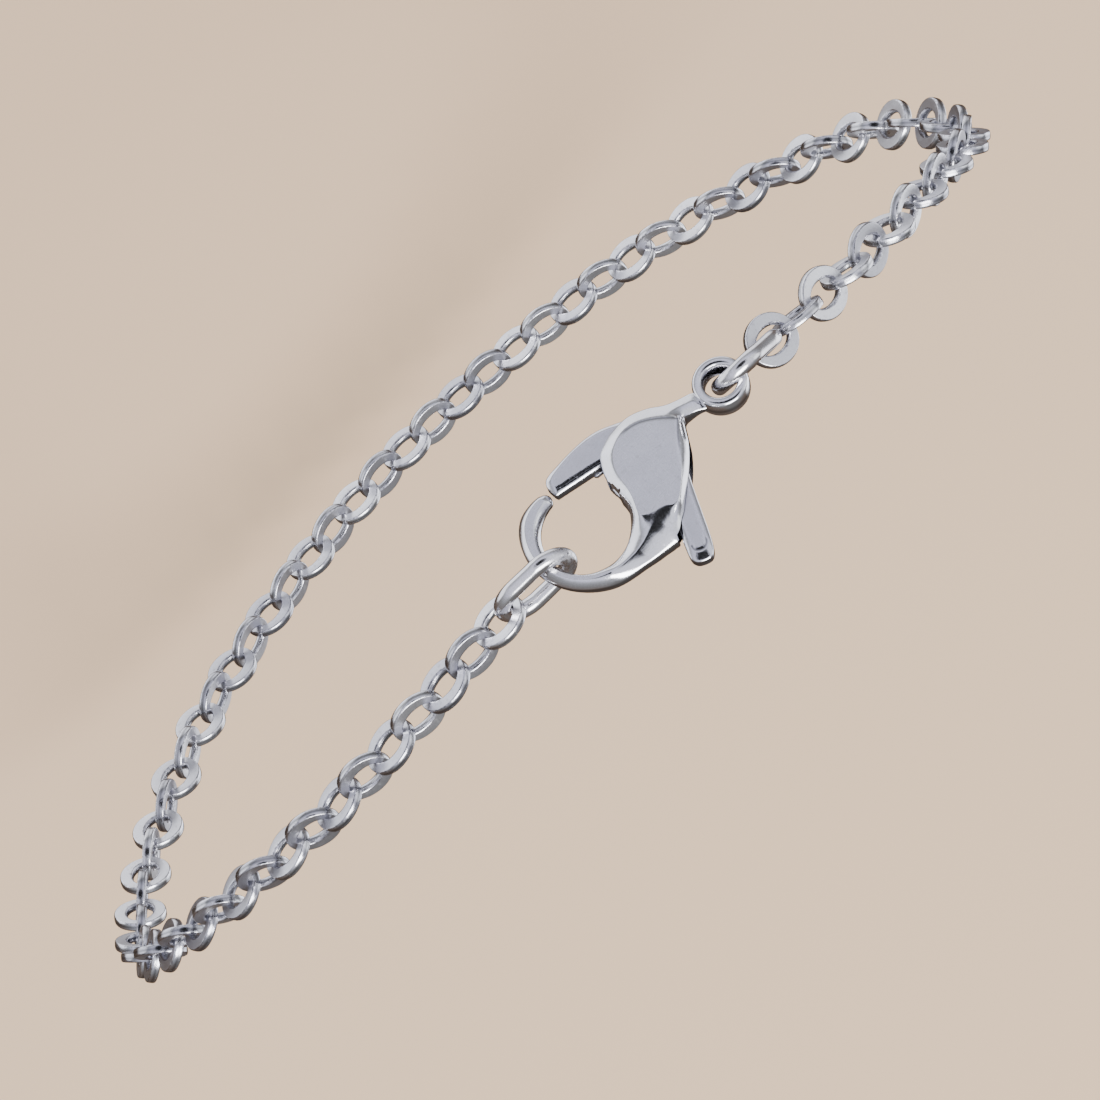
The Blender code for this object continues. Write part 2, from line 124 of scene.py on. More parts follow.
# Flat polished face of the body, as shares of its length and width.
BODY_FACE = [
    (0.381, 0.219), (0.532, 0.207), (0.657, 0.159), (0.779, 0.080), (0.870, -0.002),
    (0.770, -0.085), (0.655, -0.198), (0.545, -0.308), (0.430, -0.398), (0.342, -0.456),
    (0.268, -0.496), (0.212, -0.494), (0.170, -0.458), (0.100, -0.426), (0.005, -0.400),
    (-0.058, -0.362), (-0.038, -0.300), (0.020, -0.205), (0.068, -0.091), (0.104, 0.024),
    (0.161, 0.112), (0.254, 0.182),
]
BODY_FACE_CORNERS = (4,)
# Narrow face along the hook, as shares of its width at degrees round the eye.
HOOK_FACE = [
    (98, 0.40, 0.62), (112, 0.30, 0.66), (130, 0.28, 0.66), (155, 0.30, 0.64),
    (180, 0.34, 0.60), (205, 0.36, 0.60), (230, 0.38, 0.58), (248, 0.44, 0.54),
]
# Lever: its gate and its tail, from the hub round, as shares of the body's sizes.
GATE_EDGE = [
    (0.555, 0.352), (0.48, 0.387), (0.335, 0.446), (0.19, 0.475), (0.01, 0.484),
    (-0.17, 0.479), (-0.335, 0.464), (-0.39, 0.418), (-0.40, 0.335), (-0.395, 0.302),
    (-0.185, 0.262), (0.075, 0.211), (0.235, 0.164), (0.35, 0.082),
]
TAIL_EDGE = [
    (0.39, -0.033), (0.365, -0.164), (0.27, -0.328), (0.16, -0.492), (0.075, -0.639),
    (0.005, -0.750), (-0.045, -0.857), (-0.02, -0.916), (0.085, -0.957), (0.15, -0.933),
    (0.23, -0.844), (0.345, -0.672), (0.44, -0.525), (0.505, -0.426), (0.58, -0.320),
    (0.68, -0.197), (0.75, -0.060),
]
LEVER_CORNERS = (0, 9, 14)
# Flat polished faces of the gate and of the tail, as shares of the body's sizes.
GATE_FACE = [
    (-0.325, 0.415), (-0.17, 0.449), (0.03, 0.457), (0.24, 0.434), (0.43, 0.370),
    (0.50, 0.300), (0.40, 0.170), (0.26, 0.200), (0.08, 0.246), (-0.18, 0.300),
    (-0.335, 0.338),
]
TAIL_FACE = [
    (0.46, -0.080), (0.42, -0.190), (0.325, -0.345), (0.215, -0.505), (0.130, -0.650),
    (0.068, -0.755), (0.040, -0.830), (0.100, -0.872), (0.170, -0.850), (0.255, -0.735),
    (0.350, -0.590), (0.440, -0.450), (0.520, -0.340), (0.610, -0.205), (0.67, -0.090),
]
# Middle of the rivet, and the stop under the gate, as shares of the body's sizes.
PIVOT = (0.59, 0.057)
STOP_EDGE = [(-0.03, 0.300), (0.17, 0.262), (0.158, 0.192), (0.0, 0.208)]
# Levels of the stop's foot and top, as shares of half the lever's thickness.
STOP_LEVELS = (-0.96, -0.30)
STOP_BEVEL = 0.05 * MM
# Slot between the plates: the side towards the eye, then the open lower side.
SLOT_EYE_SIDE = [
    (-0.12, 0.025), (0.12, 0.036), (0.22, 0.033), (0.30, 0.0), (0.335, -0.041),
    (0.325, -0.156), (0.23, -0.320), (0.12, -0.484), (0.04, -0.639), (-0.03, -0.754),
]
SLOT_LOWER_SIDE = [(0.96, -0.754), (0.96, -0.123)]
SLOT_UPPER_SIDE = [(0.58, 0.39), (0.58, 0.54), (-0.12, 0.54)]

# Rows of points beside an outline, in steps of the mesh.
RIM_ROWS = (0.16, 0.45, 0.95, 1.6, 2.4, 3.3)
# Rows of points on both sides of a face's own line, in steps of the mesh.
FACE_ROWS = (-0.35, 0.35)
# Rows of faces in the wall between both sides of a plate.
WALL_ROWS = 3
# Widths of a plate's rounded outer edge, of the fine line round a face and of the
# painted shade in that line, in steps of the mesh.
EDGE_WIDTH = 0.8
LINE_WIDTH = 0.75
LINE_SHADE_WIDTH = 1.15
# Depth at which a fine line in the metal gets all its painted shade.
LINE_DEPTH = 0.02 * MM
# Distance under which two places count as one.
HAIR = 1e-8

# Noise in the metal, in repeats a metre, from broad clouds to fine speckles.
CLOUD_SCALE = 900.0
SCRATCH_SCALES = (1500.0, 1300.0)
PIT_SCALE = 4200.0
SPOT_SCALE = 5200.0
NICK_SCALE = 6500.0
GRAIN_SCALE = 9000.0
SPECKLE_SCALE = 16000.0
BUMP_DEPTH = 0.02 * MM
# Colour that the chain's darkest link is multiplied by.
DARK_LINK = (0.70, 0.70, 0.73, 1)

# Picture: its width and the clasp's shift from its middle in pixels, and the scale.
PICTURE_WIDTH = 1100
SHIFT_ALONG = 9.9
SHIFT_ACROSS = 10.6
PIXELS_PER_METRE = 20330.0
# Width of the camera's sensor, in millimetres.
SENSOR_WIDTH = 36.0
# Large soft light: azimuth and height in degrees, and its sides in metres.
LIGHT_WAY = (-106, 46)
LIGHT_SIZE = (0.30, 0.22)
# Colour that the camera sees past the floor.
BACKDROP = (0.70, 0.70, 0.71, 1)
# Colours of the studio's walls, at the sine of the height over the horizon.
WALL_COLOURS = [
    (-1.0, (0.12, 0.09, 0.07)), (-0.6, (0.17, 0.13, 0.11)), (-0.3, (0.22, 0.19, 0.18)),
    (0.0, (0.30, 0.30, 0.31)), (0.3, (0.46, 0.47, 0.51)), (0.63, (1.00, 1.01, 1.22)),
    (1.0, (1.22, 1.24, 1.38)),
]
WHITE = (0.95, 0.97, 1.04)
# Cards on the walls: azimuth from +X and height in degrees, reach, softness,
# brightness and tint.
CARDS = [
    (62, -22, 26, 8, 1.9, (0.93, 0.94, 1.0)),
    (96, -14, 21, 6, 2.3, WHITE),
    (128, -8, 22, 6, 2.1, WHITE),
    (-98, -14, 24, 7, 0.19, (1.0, 0.97, 0.96)),
    (-108, 40, 18, 5, 1.8, WHITE),
    (-10, 43, 18, 7, 1.3, (0.92, 0.94, 1.0)),
    (-32, 20, 15, 6, 2.1, (0.94, 0.96, 1.0)),
    (-24, -28, 23, 6, 3.0, WHITE),
    (92, 70, 22, 3, 0.02, WHITE),
]


def length(name, description, default):
    """Size that a user may change, in metres."""
    return bpy.props.FloatProperty(
        name=name, description=description, default=default,
        min=0.0, precision=5, unit="LENGTH", subtype="DISTANCE",
    )


def degrees(name, description, default):
    """Angle that a user may change, stored in radians."""
    return bpy.props.FloatProperty(
        name=name, description=description, default=math.radians(default),
        unit="ROTATION", subtype="ANGLE",
    )


def share(name, description, default):
    """Share between nothing and all."""
    return bpy.props.FloatProperty(
        name=name, description=description, default=default,
        min=0.0, max=1.0, subtype="FACTOR",
    )


def colour(name, description, default):
    """Colour that a user may change."""
    return bpy.props.FloatVectorProperty(
        name=name, description=description, default=default,
        size=3, min=0.0, max=1.0, subtype="COLOR",
    )


class ChainSizes(bpy.types.PropertyGroup):
    """Sizes of the chain and of its route."""

    link_count: bpy.props.IntProperty(
        name="Links", description="Oval links in the chain", default=76, min=3,
    )
    link_length: length("Link length", "Length of a link outside", 2.86 * MM)
    link_width: length("Link width", "Width of a link outside", 2.62 * MM)
    end_band: length("End band", "Width of the flattened wire at a link's ends", 0.48 * MM)
    side_band: length("Side band", "Width of the flattened wire at a link's sides", 0.68 * MM)
    thickness: length("Thickness", "Thickness of the flattened wire", 0.44 * MM)
    seat: length("Seat", "How far neighbouring links bear into each other", 0.05 * MM)
    roll: degrees("Roll", "Turn of a link's face from the loop's outward side", 49.0)
    ring_side_roll: degrees("Ring side roll", "Turn of the first link beside the ring", 4.0)
    roll_per_link: degrees("Roll per link", "How much each link beside the ring turns back", 7.0)
    flatness: share("Loop flatness", "Height of the loop as a share of its width", 0.804)
    looseness: share("Looseness", "How unevenly the links lie", 0.35)


class EndLinkSizes(bpy.types.PropertyGroup):
    """Sizes of the two round-wire links beside the clasp."""

    length: length("Length", "Length of an end link outside", 4.7 * MM)
    width: length("Width", "Width of an end link outside", 3.3 * MM)
    wire: length("Wire", "Diameter of the round wire", 0.84 * MM)
    claw_roll: degrees("Claw link roll", "Turn of the link in the claw", -63.0)
    ring_roll: degrees("Ring link roll", "Turn of the link in the clasp's ring", 90.0)
    end_gap: length("End gap", "Room between the claw's link and the chain", 0.06 * MM)
    ring_slack: length("Ring slack", "Slack of the ring's link towards the chain", 0.45 * MM)
    claw_gap: length("Claw gap", "Room between the claw and its link", 0.22 * MM)
    ring_gap: length("Ring gap", "Room between the clasp's ring and its link", 0.18 * MM)
    ring_hang: length("Ring hang", "Height of the ring's link over the ring's middle", 0.26 * MM)


class ClaspSizes(bpy.types.PropertyGroup):
    """Sizes of the clasp's body and lever."""

    roll: degrees("Roll", "Turn of the clasp's face from straight up", 25.0)
    offset: length("Offset", "Distance of the clasp's middle from the loop's top", 0.78 * MM)
    lift: length("Lift", "Height of the clasp over the chain's oval", 0.7 * MM)
    thickness: length("Thickness", "Thickness of the body at its widest", 2.2 * MM)
    body_length: length("Body length", "Length from the eye to the neck", 5.0 * MM)
    body_width: length("Body width", "Width that the body's edge table follows", 6.1 * MM)
    eye_radius: length("Eye radius", "Radius of the eye inside the hook", 2.25 * MM)
    eye_drop: length("Eye drop", "Distance of the eye below the clasp's middle line", 0.5 * MM)
    hook_width: length("Hook width", "Width of the hook's bar", 0.82 * MM)
    ring_radius: length("Ring radius", "Outer radius of the clasp's ring", 1.35 * MM)
    ring_hole: length("Ring hole", "Radius of the hole in the clasp's ring", 0.785 * MM)
    ring_thickness: length("Ring thickness", "Thickness of the clasp's ring", 1.2 * MM)
    ring_reach: length("Ring reach", "Distance of the ring's centre from the body", 2.06 * MM)
    rim_drop: length("Rim drop", "How far the rounded rim falls below the face", 0.42 * MM)
    heel_drop: length("Heel drop", "How much further the rim falls at the heel", 0.34 * MM)
    crease: length("Crease", "Depth of the fine line round the polished face", 0.02 * MM)
    lever_thickness: length("Lever thickness", "Thickness of the lever", 0.8 * MM)
    lever_gap: length("Lever gap", "Room on each side of the lever", 0.06 * MM)
    lever_side_gap: length("Lever side gap", "Room round the lever's hub", 0.14 * MM)
    lever_rim: length("Lever rim", "How far the lever's rim falls below its face", 0.14 * MM)
    hub_radius: length("Hub radius", "Radius of the lever's hub", 0.9 * MM)
    mesh_step: length("Mesh step", "Spacing of the points on the clasp's faces", 0.075 * MM)


class MetalLooks(bpy.types.PropertyGroup):
    """Colours and polish of the metal."""

    body_colour: colour("Body colour", "Colour of the clasp's body", (0.80, 0.80, 0.83))
    lever_colour: colour("Lever colour", "Colour of the clasp's lever", (0.74, 0.74, 0.78))
    link_colour: colour("Link colour", "Colour of the chain's links", (0.82, 0.82, 0.85))
    wire_colour: colour("Wire colour", "Colour of the end links", (0.80, 0.79, 0.81))
    worn_colour: colour("Worn colour", "Colour of dull spots and nicks", (0.42, 0.41, 0.43))
    polish: share("Polish", "Roughness of the polished metal", 0.13)
    # Painted shade: the colour of the side walls is darkened to this brightness.
    side_shade: share("Side tone", "Brightness of the metal's shaded side walls", 0.42)
    face_haze: share("Face haze", "How much duller the flat faces are than the rims", 0.13)
    scratches: share("Scratches", "Strength of the fine scratches", 0.25)


class StudioLooks(bpy.types.PropertyGroup):
    """Camera, floor and lights."""

    floor_drop: length("Floor drop", "Distance of the floor below the bracelet", 4.0 * MM)
    floor_size: length("Floor size", "Width of the floor", 3.0)
    floor_colour: colour("Floor colour", "Colour of the floor", (0.80, 0.57, 0.36))
    tilt: degrees("Camera tilt", "Turn of the camera from straight above", 11.0)
    distance: length("Camera distance", "Distance of the camera from the loop's middle", 0.359)
    wall_light: bpy.props.FloatProperty(
        name="Wall light", description="Brightness of the studio's walls and cards",
        default=1.0, min=0.0,
    )
    light_distance: length("Light distance", "Distance of the large soft light", 0.43)
    main_power: bpy.props.FloatProperty(
        name="Main light", description="Power of the large soft light", default=2.6,
        min=0.0, unit="POWER",
    )


class BraceletSettings(bpy.types.PropertyGroup):
    """Everything that can be changed about the bracelet."""

    chain: bpy.props.PointerProperty(
        type=ChainSizes, name="Chain", description="Sizes of the chain",
    )
    end_links: bpy.props.PointerProperty(
        type=EndLinkSizes, name="End links", description="Sizes of the round-wire links",
    )
    clasp: bpy.props.PointerProperty(
        type=ClaspSizes, name="Clasp", description="Sizes of the clasp",
    )
    metal: bpy.props.PointerProperty(
        type=MetalLooks, name="Metal", description="Colours and polish of the metal",
    )
    studio: bpy.props.PointerProperty(
        type=StudioLooks, name="Studio", description="Camera, floor and lights",
    )


def blend_table(table, place):
    """Read a table of (place, value) rows on a smooth curve through them."""
    if place <= table[0][0]:
        return table[0][1]
    for row in range(len(table) - 1):
        left, right = table[row], table[row + 1]
        if place <= right[0]:
            step = right[0] - left[0]
            before = table[max(row - 1, 0)]
            after = table[min(row + 2, len(table) - 1)]
            slope_left = (right[1] - before[1]) / (right[0] - before[0])
            slope_right = (after[1] - left[1]) / (after[0] - left[0])
            t = (place - left[0]) / step
            return (
                (1 + 2 * t) * (1 - t) ** 2 * left[1]
                + t * (1 - t) ** 2 * step * slope_left
                + t * t * (3 - 2 * t) * right[1]
                + t * t * (t - 1) * step * slope_right
            )
    return table[-1][1]


def lean_share(angle):
    """Lean of the route along the loop's axis at an angle from the top, in degrees."""
    rows = [(place - 360, lean) for place, lean in LEAN_POINTS[-3:]]
    rows += LEAN_POINTS
    rows += [(place + 360, lean) for place, lean in LEAN_POINTS[:3]]
    return blend_table(rows, (angle + 180) % 360 - 180)


class Route:
    """Route of the chain round the loop, and the places of the clasp and its links."""

    def __init__(self, settings):
        self.chain = settings.chain
        self.ends = settings.end_links
        self.clasp = settings.clasp
        chain = self.chain
        self.pitch = chain.link_length - 2 * chain.end_band + chain.seat
        self.half_width = 0.0
        low, high = chain.link_count * self.pitch / 8, chain.link_count * self.pitch / 3
        for _ in range(SEARCH_STEPS):
            self.half_width = (low + high) / 2
            if self.seat_angles()[-1] > self.chain_end() + 360:
                low = self.half_width
            else:
                high = self.half_width

    def point(self, angle):
        """Point of the route at an angle from the top, in degrees."""
        turn = math.radians(angle)
        return self.half_width * Vector((
            math.sin(turn), lean_share(angle), self.chain.flatness * math.cos(turn),
        ))

    def outward(self, angle):
        """Direction that points straight out of the loop there."""
        turn = math.radians(angle)
        return Vector((math.sin(turn), 0, math.cos(turn) / self.chain.flatness)).normalized()

    def angle_at_distance(self, start, distance, angle, way):
        """Angle, from the given one onwards, where the route is that far from start."""
        near, far = angle, angle + way * math.degrees(2 * distance / self.half_width)
        for _ in range(SEARCH_STEPS):
            middle = (near + far) / 2
            if (self.point(middle) - start).length < distance:
                near = middle
            else:
                far = middle
        return (near + far) / 2

    def body_left(self):
        """Where the body starts beside the eye, in the clasp's own plane."""
        clasp = self.clasp
        whole = clasp.body_length + clasp.ring_reach + clasp.ring_hole
        return clasp.eye_radius - whole / 2

    def eye_centre(self):
        return Vector((self.body_left() - self.clasp.eye_radius, -self.clasp.eye_drop, 0))

    def ring_centre(self):
        clasp = self.clasp
        return Vector((self.body_left() + clasp.body_length + clasp.ring_reach, 0, 0))

    def clasp_place(self):
        """Place of the clasp, level, a little above the chain's oval."""
        half_span = self.ring_centre().x + self.clasp.ring_hole
        level = math.sqrt(1 - (half_span / self.half_width) ** 2)
        height = self.half_width * self.chain.flatness * level + self.clasp.lift
        place = Vector((self.clasp.offset, self.half_width * lean_share(0), height))
        return Matrix.Translation(place) @ Matrix.Rotation(-self.clasp.roll, 4, "X")

    def claw_contact(self):
        """Where the claw's inside carries its end link."""
        reach = self.ends.claw_gap - self.clasp.eye_radius
        return self.clasp_place() @ (self.eye_centre() + Vector((reach, 0, 0)))

    def ring_contact(self):
        """Where the clasp's ring carries its end link."""
        ends = self.ends
        reach = self.clasp.ring_hole - ends.ring_gap
        level = -ends.ring_hang * math.tan(self.clasp.roll)
        return self.clasp_place() @ (self.ring_centre() + Vector((reach, level, ends.ring_hang)))

    def angle_above(self, place):
        return math.degrees(math.asin(place.x / self.half_width))

    def chain_start(self):
        """Angle where the first link hangs in the ring's end link."""
        contact = self.ring_contact()
        distance = self.ends.length - 2 * self.ends.wire - self.ends.ring_slack
        return self.angle_at_distance(contact, distance, self.angle_above(contact), 1)

    def chain_end(self):
        """Angle where the last link hangs in the claw's end link."""
        contact = self.claw_contact()
        distance = self.ends.length - 2 * self.ends.wire - self.ends.end_gap
        return self.angle_at_distance(contact, distance, self.angle_above(contact), -1)

    def seat_angles(self):
        """Angles of the seats between the links, from the ring round to the claw."""
        angles = [self.chain_start()]
        for _ in range(self.chain.link_count):
            seat = self.point(angles[-1])
            angles.append(self.angle_at_distance(seat, self.pitch, angles[-1], 1))
        return angles

    def link_place(self, start, end, angle, roll):
        """Place of a link whose hole spans two points, with its face rolled."""
        along = (end - start).normalized()
        out = self.outward(angle)
        out = (out - along * out.dot(along)).normalized()
        face = out * math.cos(roll) + out.cross(along) * math.sin(roll)
        axes = Matrix((along, face.cross(along), face)).transposed().to_4x4()
        return Matrix.Translation((start + end) / 2) @ axes

    def body_point(self, pair):
        """Point of the clasp's plane from shares of the body's length and width."""
        along, across = pair
        return (
            self.body_left() + along * self.clasp.body_length,
            across * self.clasp.body_width,
        )

    def neck_point(self, pair):
        """Point of the clasp's plane from shares of the ring's reach and radius."""
        along, across = pair
        return (
            self.body_left() + self.clasp.body_length + along * self.clasp.ring_reach,
            across * self.clasp.ring_radius,
        )


def smooth_step(values, low, high):
    """Rise from nothing at low to one at high."""
    t = np.clip((values - low) / (high - low), 0, 1)
    return t * t * (3 - 2 * t)


def polar_point(centre, radius, angle):
    """Point at an angle round a centre, in degrees."""
    turn = math.radians(angle)
    return (centre[0] + radius * math.cos(turn), centre[1] + radius * math.sin(turn))


def smooth_line(points, spacing, corners=(), closed=True):
    """Smooth curve through the points, with breaks at the corners."""
    count = len(points)
    line = []
    spans = count if closed else count - 1
    for row in range(spans):
        here = np.array(points[row])
        there = np.array(points[(row + 1) % count])
        before = np.array(points[(row - 1) % count if closed else max(row - 1, 0)])
        after = np.array(points[(row + 2) % count if closed else min(row + 2, count - 1)])
        gap = np.linalg.norm(there - here)
        slope_here = (there - before) * gap / (np.linalg.norm(here - before) + gap)
        slope_there = (after - here) * gap / (np.linalg.norm(after - there) + gap)
        if row in corners:
            slope_here = there - here
        if (row + 1) % count in corners:
            slope_there = there - here
        steps = max(1, round(gap / spacing))
        for step in range(steps):
            t = step / steps
            line.append(tuple(
                (1 + 2 * t) * (1 - t) ** 2 * here + t * (1 - t) ** 2 * slope_here
                + t * t * (3 - 2 * t) * there + t * t * (t - 1) * slope_there
            ))
    if not closed:
        line.append(tuple(points[-1]))
    return line


def even_line(points, spacing):
    """Closed line with evenly spaced points."""
    loop = np.array(points + points[:1])
    lengths = np.linalg.norm(np.diff(loop, axis=0), axis=1)
    way = np.concatenate([[0.0], np.cumsum(lengths)])
    count = max(8, round(way[-1] / spacing))
    places = np.linspace(0, way[-1], count, endpoint=False)
    return np.column_stack([np.interp(places, way, loop[:, axis]) for axis in (0, 1)])


def distance_to_line(points, line):
    """Distance of each point from a closed line, worked out some points at a time."""
    batch = 500
    step = np.roll(line, -1, axis=0) - line
    square = np.maximum((step ** 2).sum(1), 1e-18)
    nearest = np.full(len(points), np.inf)
    for first in range(0, len(points), batch):
        gap = points[first:first + batch, None, :] - line[None]
        t = np.clip((gap * step[None]).sum(2) / square[None], 0, 1)
        away = gap - t[..., None] * step[None]
        nearest[first:first + batch] = np.sqrt((away ** 2).sum(2).min(1))
    return nearest


def inside_line(points, line):
    """Whether each point lies inside a closed line."""
    x, y = points[:, 0], points[:, 1]
    inside = np.zeros(len(points), bool)
    following = np.roll(line, -1, axis=0)
    for (x1, y1), (x2, y2) in zip(line, following):
        if y1 == y2:
            continue
        crosses = ((y1 > y) != (y2 > y)) & (x < (x2 - x1) * (y - y1) / (y2 - y1) + x1)
        inside ^= crosses
    return inside


def offset_line(line, distance):
    """Points of a closed line moved inwards; the line runs anticlockwise."""
    step = np.roll(line, -1, axis=0) - np.roll(line, 1, axis=0)
    step /= np.maximum(np.linalg.norm(step, axis=1), 1e-12)[:, None]
    return line + distance * np.column_stack([-step[:, 1], step[:, 0]])


def anticlockwise(line):
    """The same closed line, running anticlockwise."""
    x, y = line[:, 0], line[:, 1]
    area = (x * np.roll(y, -1) - np.roll(x, -1) * y).sum()
    return line if area > 0 else line[::-1].copy()


def face_points(edge, faces, step):
    """Points that fill an outline: rows along its rim and its faces, and a fine grid."""
    loose = []
    nearly = 0.1 * step
    for distance in RIM_ROWS:
        row = offset_line(edge, distance * step)
        keep = np.abs(distance_to_line(row, edge) - distance * step) < nearly
        keep &= inside_line(row, edge)
        for face in faces:
            keep &= distance_to_line(row, face) > 0.75 * step
        loose.append(row[keep])
    low, high = edge.min(0), edge.max(0)
    columns = np.arange(low[0], high[0], step)
    rows = np.arange(low[1], high[1], step * math.sqrt(3) / 2)
    grid_x, grid_y = np.meshgrid(columns, rows)
    grid_x[1::2] += step / 2
    grid = np.column_stack([grid_x.ravel(), grid_y.ravel()])
    clear = (RIM_ROWS[-1] + 0.6) * step
    keep = inside_line(grid, edge) & (distance_to_line(grid, edge) > clear)
    for face in faces:
        keep &= distance_to_line(grid, face) > 0.8 * step
    loose.append(grid[keep])
    for face in faces:
        for distance in FACE_ROWS:
            row = offset_line(face, distance * step)
            near = np.abs(distance_to_line(row, face) - abs(distance) * step) < nearly
            clear = distance_to_line(row, edge) > 0.3 * step
            loose.append(row[near & clear & inside_line(row, edge)])
    return np.concatenate(loose)


def plate_triangles(edge, faces, step):
    """Points of a plate's plane, and the triangles that fill its outline."""
    lines = [edge] + faces
    points = np.concatenate(lines + [face_points(edge, faces, step)])
    edges = []
    first = 0
    for line in lines:
        count = len(line)
        edges += [(first + row, first + (row + 1) % count) for row in range(count)]
        first += count
    outline = [list(range(len(edge)))]
    scaled = [Vector(pair) for pair in points / MM]
    found = delaunay_2d_cdt(scaled, edges, outline, 1, 1e-6)
    return np.array([tuple(vertex) for vertex in found[0]]) * MM, found[2]


def plate_relief(flat, edge, faces, form, step):
    """Half the thickness at each point, and how polished the metal is there, which also sets the
    painted shade on its walls and in the fine line.
    """
    height, rim_height, roundness, crease = form
    rim_way = distance_to_line(flat, edge)
    face_way = np.full(len(flat), np.inf)
    on_face = np.zeros(len(flat), bool)
    line_way = np.full(len(flat), np.inf)
    for face in faces:
        away = distance_to_line(flat, face)
        within = inside_line(flat, face) | (away < HAIR)
        line_way = np.minimum(line_way, away)
        face_way = np.minimum(face_way, np.where(within, 0.0, away))
        on_face |= within
    rise = rim_way / np.maximum(rim_way + face_way, 1e-12)
    rise[on_face] = 1.0
    top, low = height(flat), rim_height(flat)
    sloped = 1 - (1 - rise) ** 1.4
    domed = 1 - (1 - rise) ** 2
    profile = sloped + (domed - sloped) * roundness(flat)
    depth = low + (top - low) * profile
    edge_round = EDGE_WIDTH * step
    depth -= 0.5 * edge_round * np.clip(1 - rim_way / edge_round, 0, 1) ** 2
    line = crease(flat)
    depth -= line * np.exp(-(line_way / (LINE_WIDTH * step)) ** 2)
    # Painted shade in the fine line round a face, darker where the line is deeper.
    line_shade = np.exp(-(line_way / (LINE_SHADE_WIDTH * step)) ** 2) * np.clip(line / LINE_DEPTH, 0, 1)
    tones = np.where(on_face, 1.0, 0.5 + 0.3 * profile) * (1 - line_shade)
    on_edge = rim_way < HAIR
    # Painted shade: the outline keeps a low face share, so its colour is darkened.
    tones[on_edge] = 0.3
    return depth, tones, on_edge


def add_wall(shape, matches):
    """Wall between both sides of a plate, from the pairs of points on its outline."""
    border = [line for line in shape.edges if len(line.link_faces) == 1]
    between = {}
    for top_vertex, low_vertex in matches.items():
        column = [top_vertex]
        for row in range(1, WALL_ROWS):
            place = top_vertex.co.lerp(low_vertex.co, row / WALL_ROWS)
            # New points hold no face share, so the wall gets the full painted shade.
            column.append(shape.verts.new(place))
        column.append(low_vertex)
        between[top_vertex] = column
    for line in border:
        start, end = line.verts
        if start not in between or end not in between:
            continue
        left, right = between[start], between[end]
        for row in range(WALL_ROWS):
            shape.faces.new((left[row], right[row], right[row + 1], left[row + 1]))


def finished_mesh(name, shape):
    """Mesh made of a shape, with its faces turned outwards."""
    bmesh.ops.recalc_face_normals(shape, faces=shape.faces)
    mesh = bpy.data.meshes.new(name)
    shape.to_mesh(mesh)
    shape.free()
    return mesh


def plate_mesh(name, edge, faces, form, step):
    """Two-sided plate with flat faces, a fine line round them and a rounded rim.

    The form is four functions of the points: half the thickness at the face and at
    the outline, how round the slope between them is, and the depth of the line
    round the face.
    """
    edge = anticlockwise(edge)
    faces = [anticlockwise(face) for face in faces]
    flat, triangles = plate_triangles(edge, faces, step)
    depth, tones, on_edge = plate_relief(flat, edge, faces, form, step)
    shape = bmesh.new()
    tone = shape.verts.layers.float.new("face_share")
    sides = []
    for levels in (depth, -depth):
        sides.append([shape.verts.new((x, y, level)) for (x, y), level in zip(flat, levels)])
        for vertex, polished in zip(sides[-1], tones):
            vertex[tone] = polished
    front, back = sides
    for a, b, c in triangles:
        shape.faces.new((front[a], front[b], front[c]))
        shape.faces.new((back[c], back[b], back[a]))
    add_wall(shape, {front[row]: back[row] for row in np.flatnonzero(on_edge)})
    bmesh.ops.remove_doubles(shape, verts=shape.verts, dist=HAIR)
    return finished_mesh(name, shape)


def add_prism(shape, corners, low_level, high_level):
    """Add a prism between two levels; gives its faces and its upper corners."""
    low = [shape.verts.new((x, y, low_level)) for x, y in corners]
    high = [shape.verts.new((x, y, high_level)) for x, y in corners]
    faces = [shape.faces.new(low[::-1]), shape.faces.new(high)]
    for row in range(len(corners)):
        onward = (row + 1) % len(corners)
        faces.append(shape.faces.new((low[row], low[onward], high[onward], high[row])))
    return faces, high


def shade(mesh, sharp_angle):
    """Smooth shading with breaks at sharp edges, in degrees."""
    mesh.shade_smooth()
    mesh.set_sharp_from_angle(angle=math.radians(sharp_angle))


def linked_object(name, data):
    """New object in the scene's collection."""
    made = bpy.data.objects.new(name, data)
    bpy.context.scene.collection.objects.link(made)
    return made


def add_piece(name, mesh, material, body, node):
    """Object that rides on a body, stands for a node and takes its finish."""
    piece = linked_object(name, mesh)
    mesh.materials.clear()
    mesh.materials.append(material)
    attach(piece, body)
    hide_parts(node)


def ring_of_sections(sections):
    """Closed tube: loops of points, joined round."""
    rows, count = len(sections), len(sections[0])
    shape = bmesh.new()
    loops = [[shape.verts.new(point) for point in section] for section in sections]
    for row in range(rows):
        following = loops[(row + 1) % rows]
        for column in range(count):
            onward = (column + 1) % count
            shape.faces.new((
                loops[row][column], loops[row][onward], following[onward], following[column],
            ))
    return shape


def link_section():
    """Whole section of a link's wire, from the half table."""
    upper = LINK_SECTION
    lower = [(inward, -rise) for inward, rise in reversed(LINK_SECTION[1:-1])]
    return upper + lower


def link_points(chain, rng, steps=48):
    """Points of one link, a little different each time."""
    loose = chain.looseness
    long_share = 1 + loose * rng.uniform(-0.012, 0.012)
    wide_share = 1 + loose * rng.uniform(-0.030, 0.030)
    twist = loose * rng.uniform(-0.06, 0.06)
    phase = rng.uniform(0, 2 * math.pi)
    wave = loose * 0.03
    section = link_section()
    loops = []
    for step in range(steps):
        turn = 2 * math.pi * step / steps
        uneven = 1 + wave * math.sin(2 * turn + phase)
        loop = []
        for inward, rise in section:
            reach_x = chain.link_length / 2 - inward * chain.end_band * uneven
            reach_y = chain.link_width / 2 * wide_share - inward * chain.side_band * uneven
            place = Vector((
                reach_x * math.cos(turn) * long_share,
                reach_y * math.sin(turn),
                rise * chain.thickness / 2,
            ))
            bend = twist * place.x / chain.link_length
            loop.append(Matrix.Rotation(bend, 3, "X") @ place)
        loops.append(loop)
    return loops


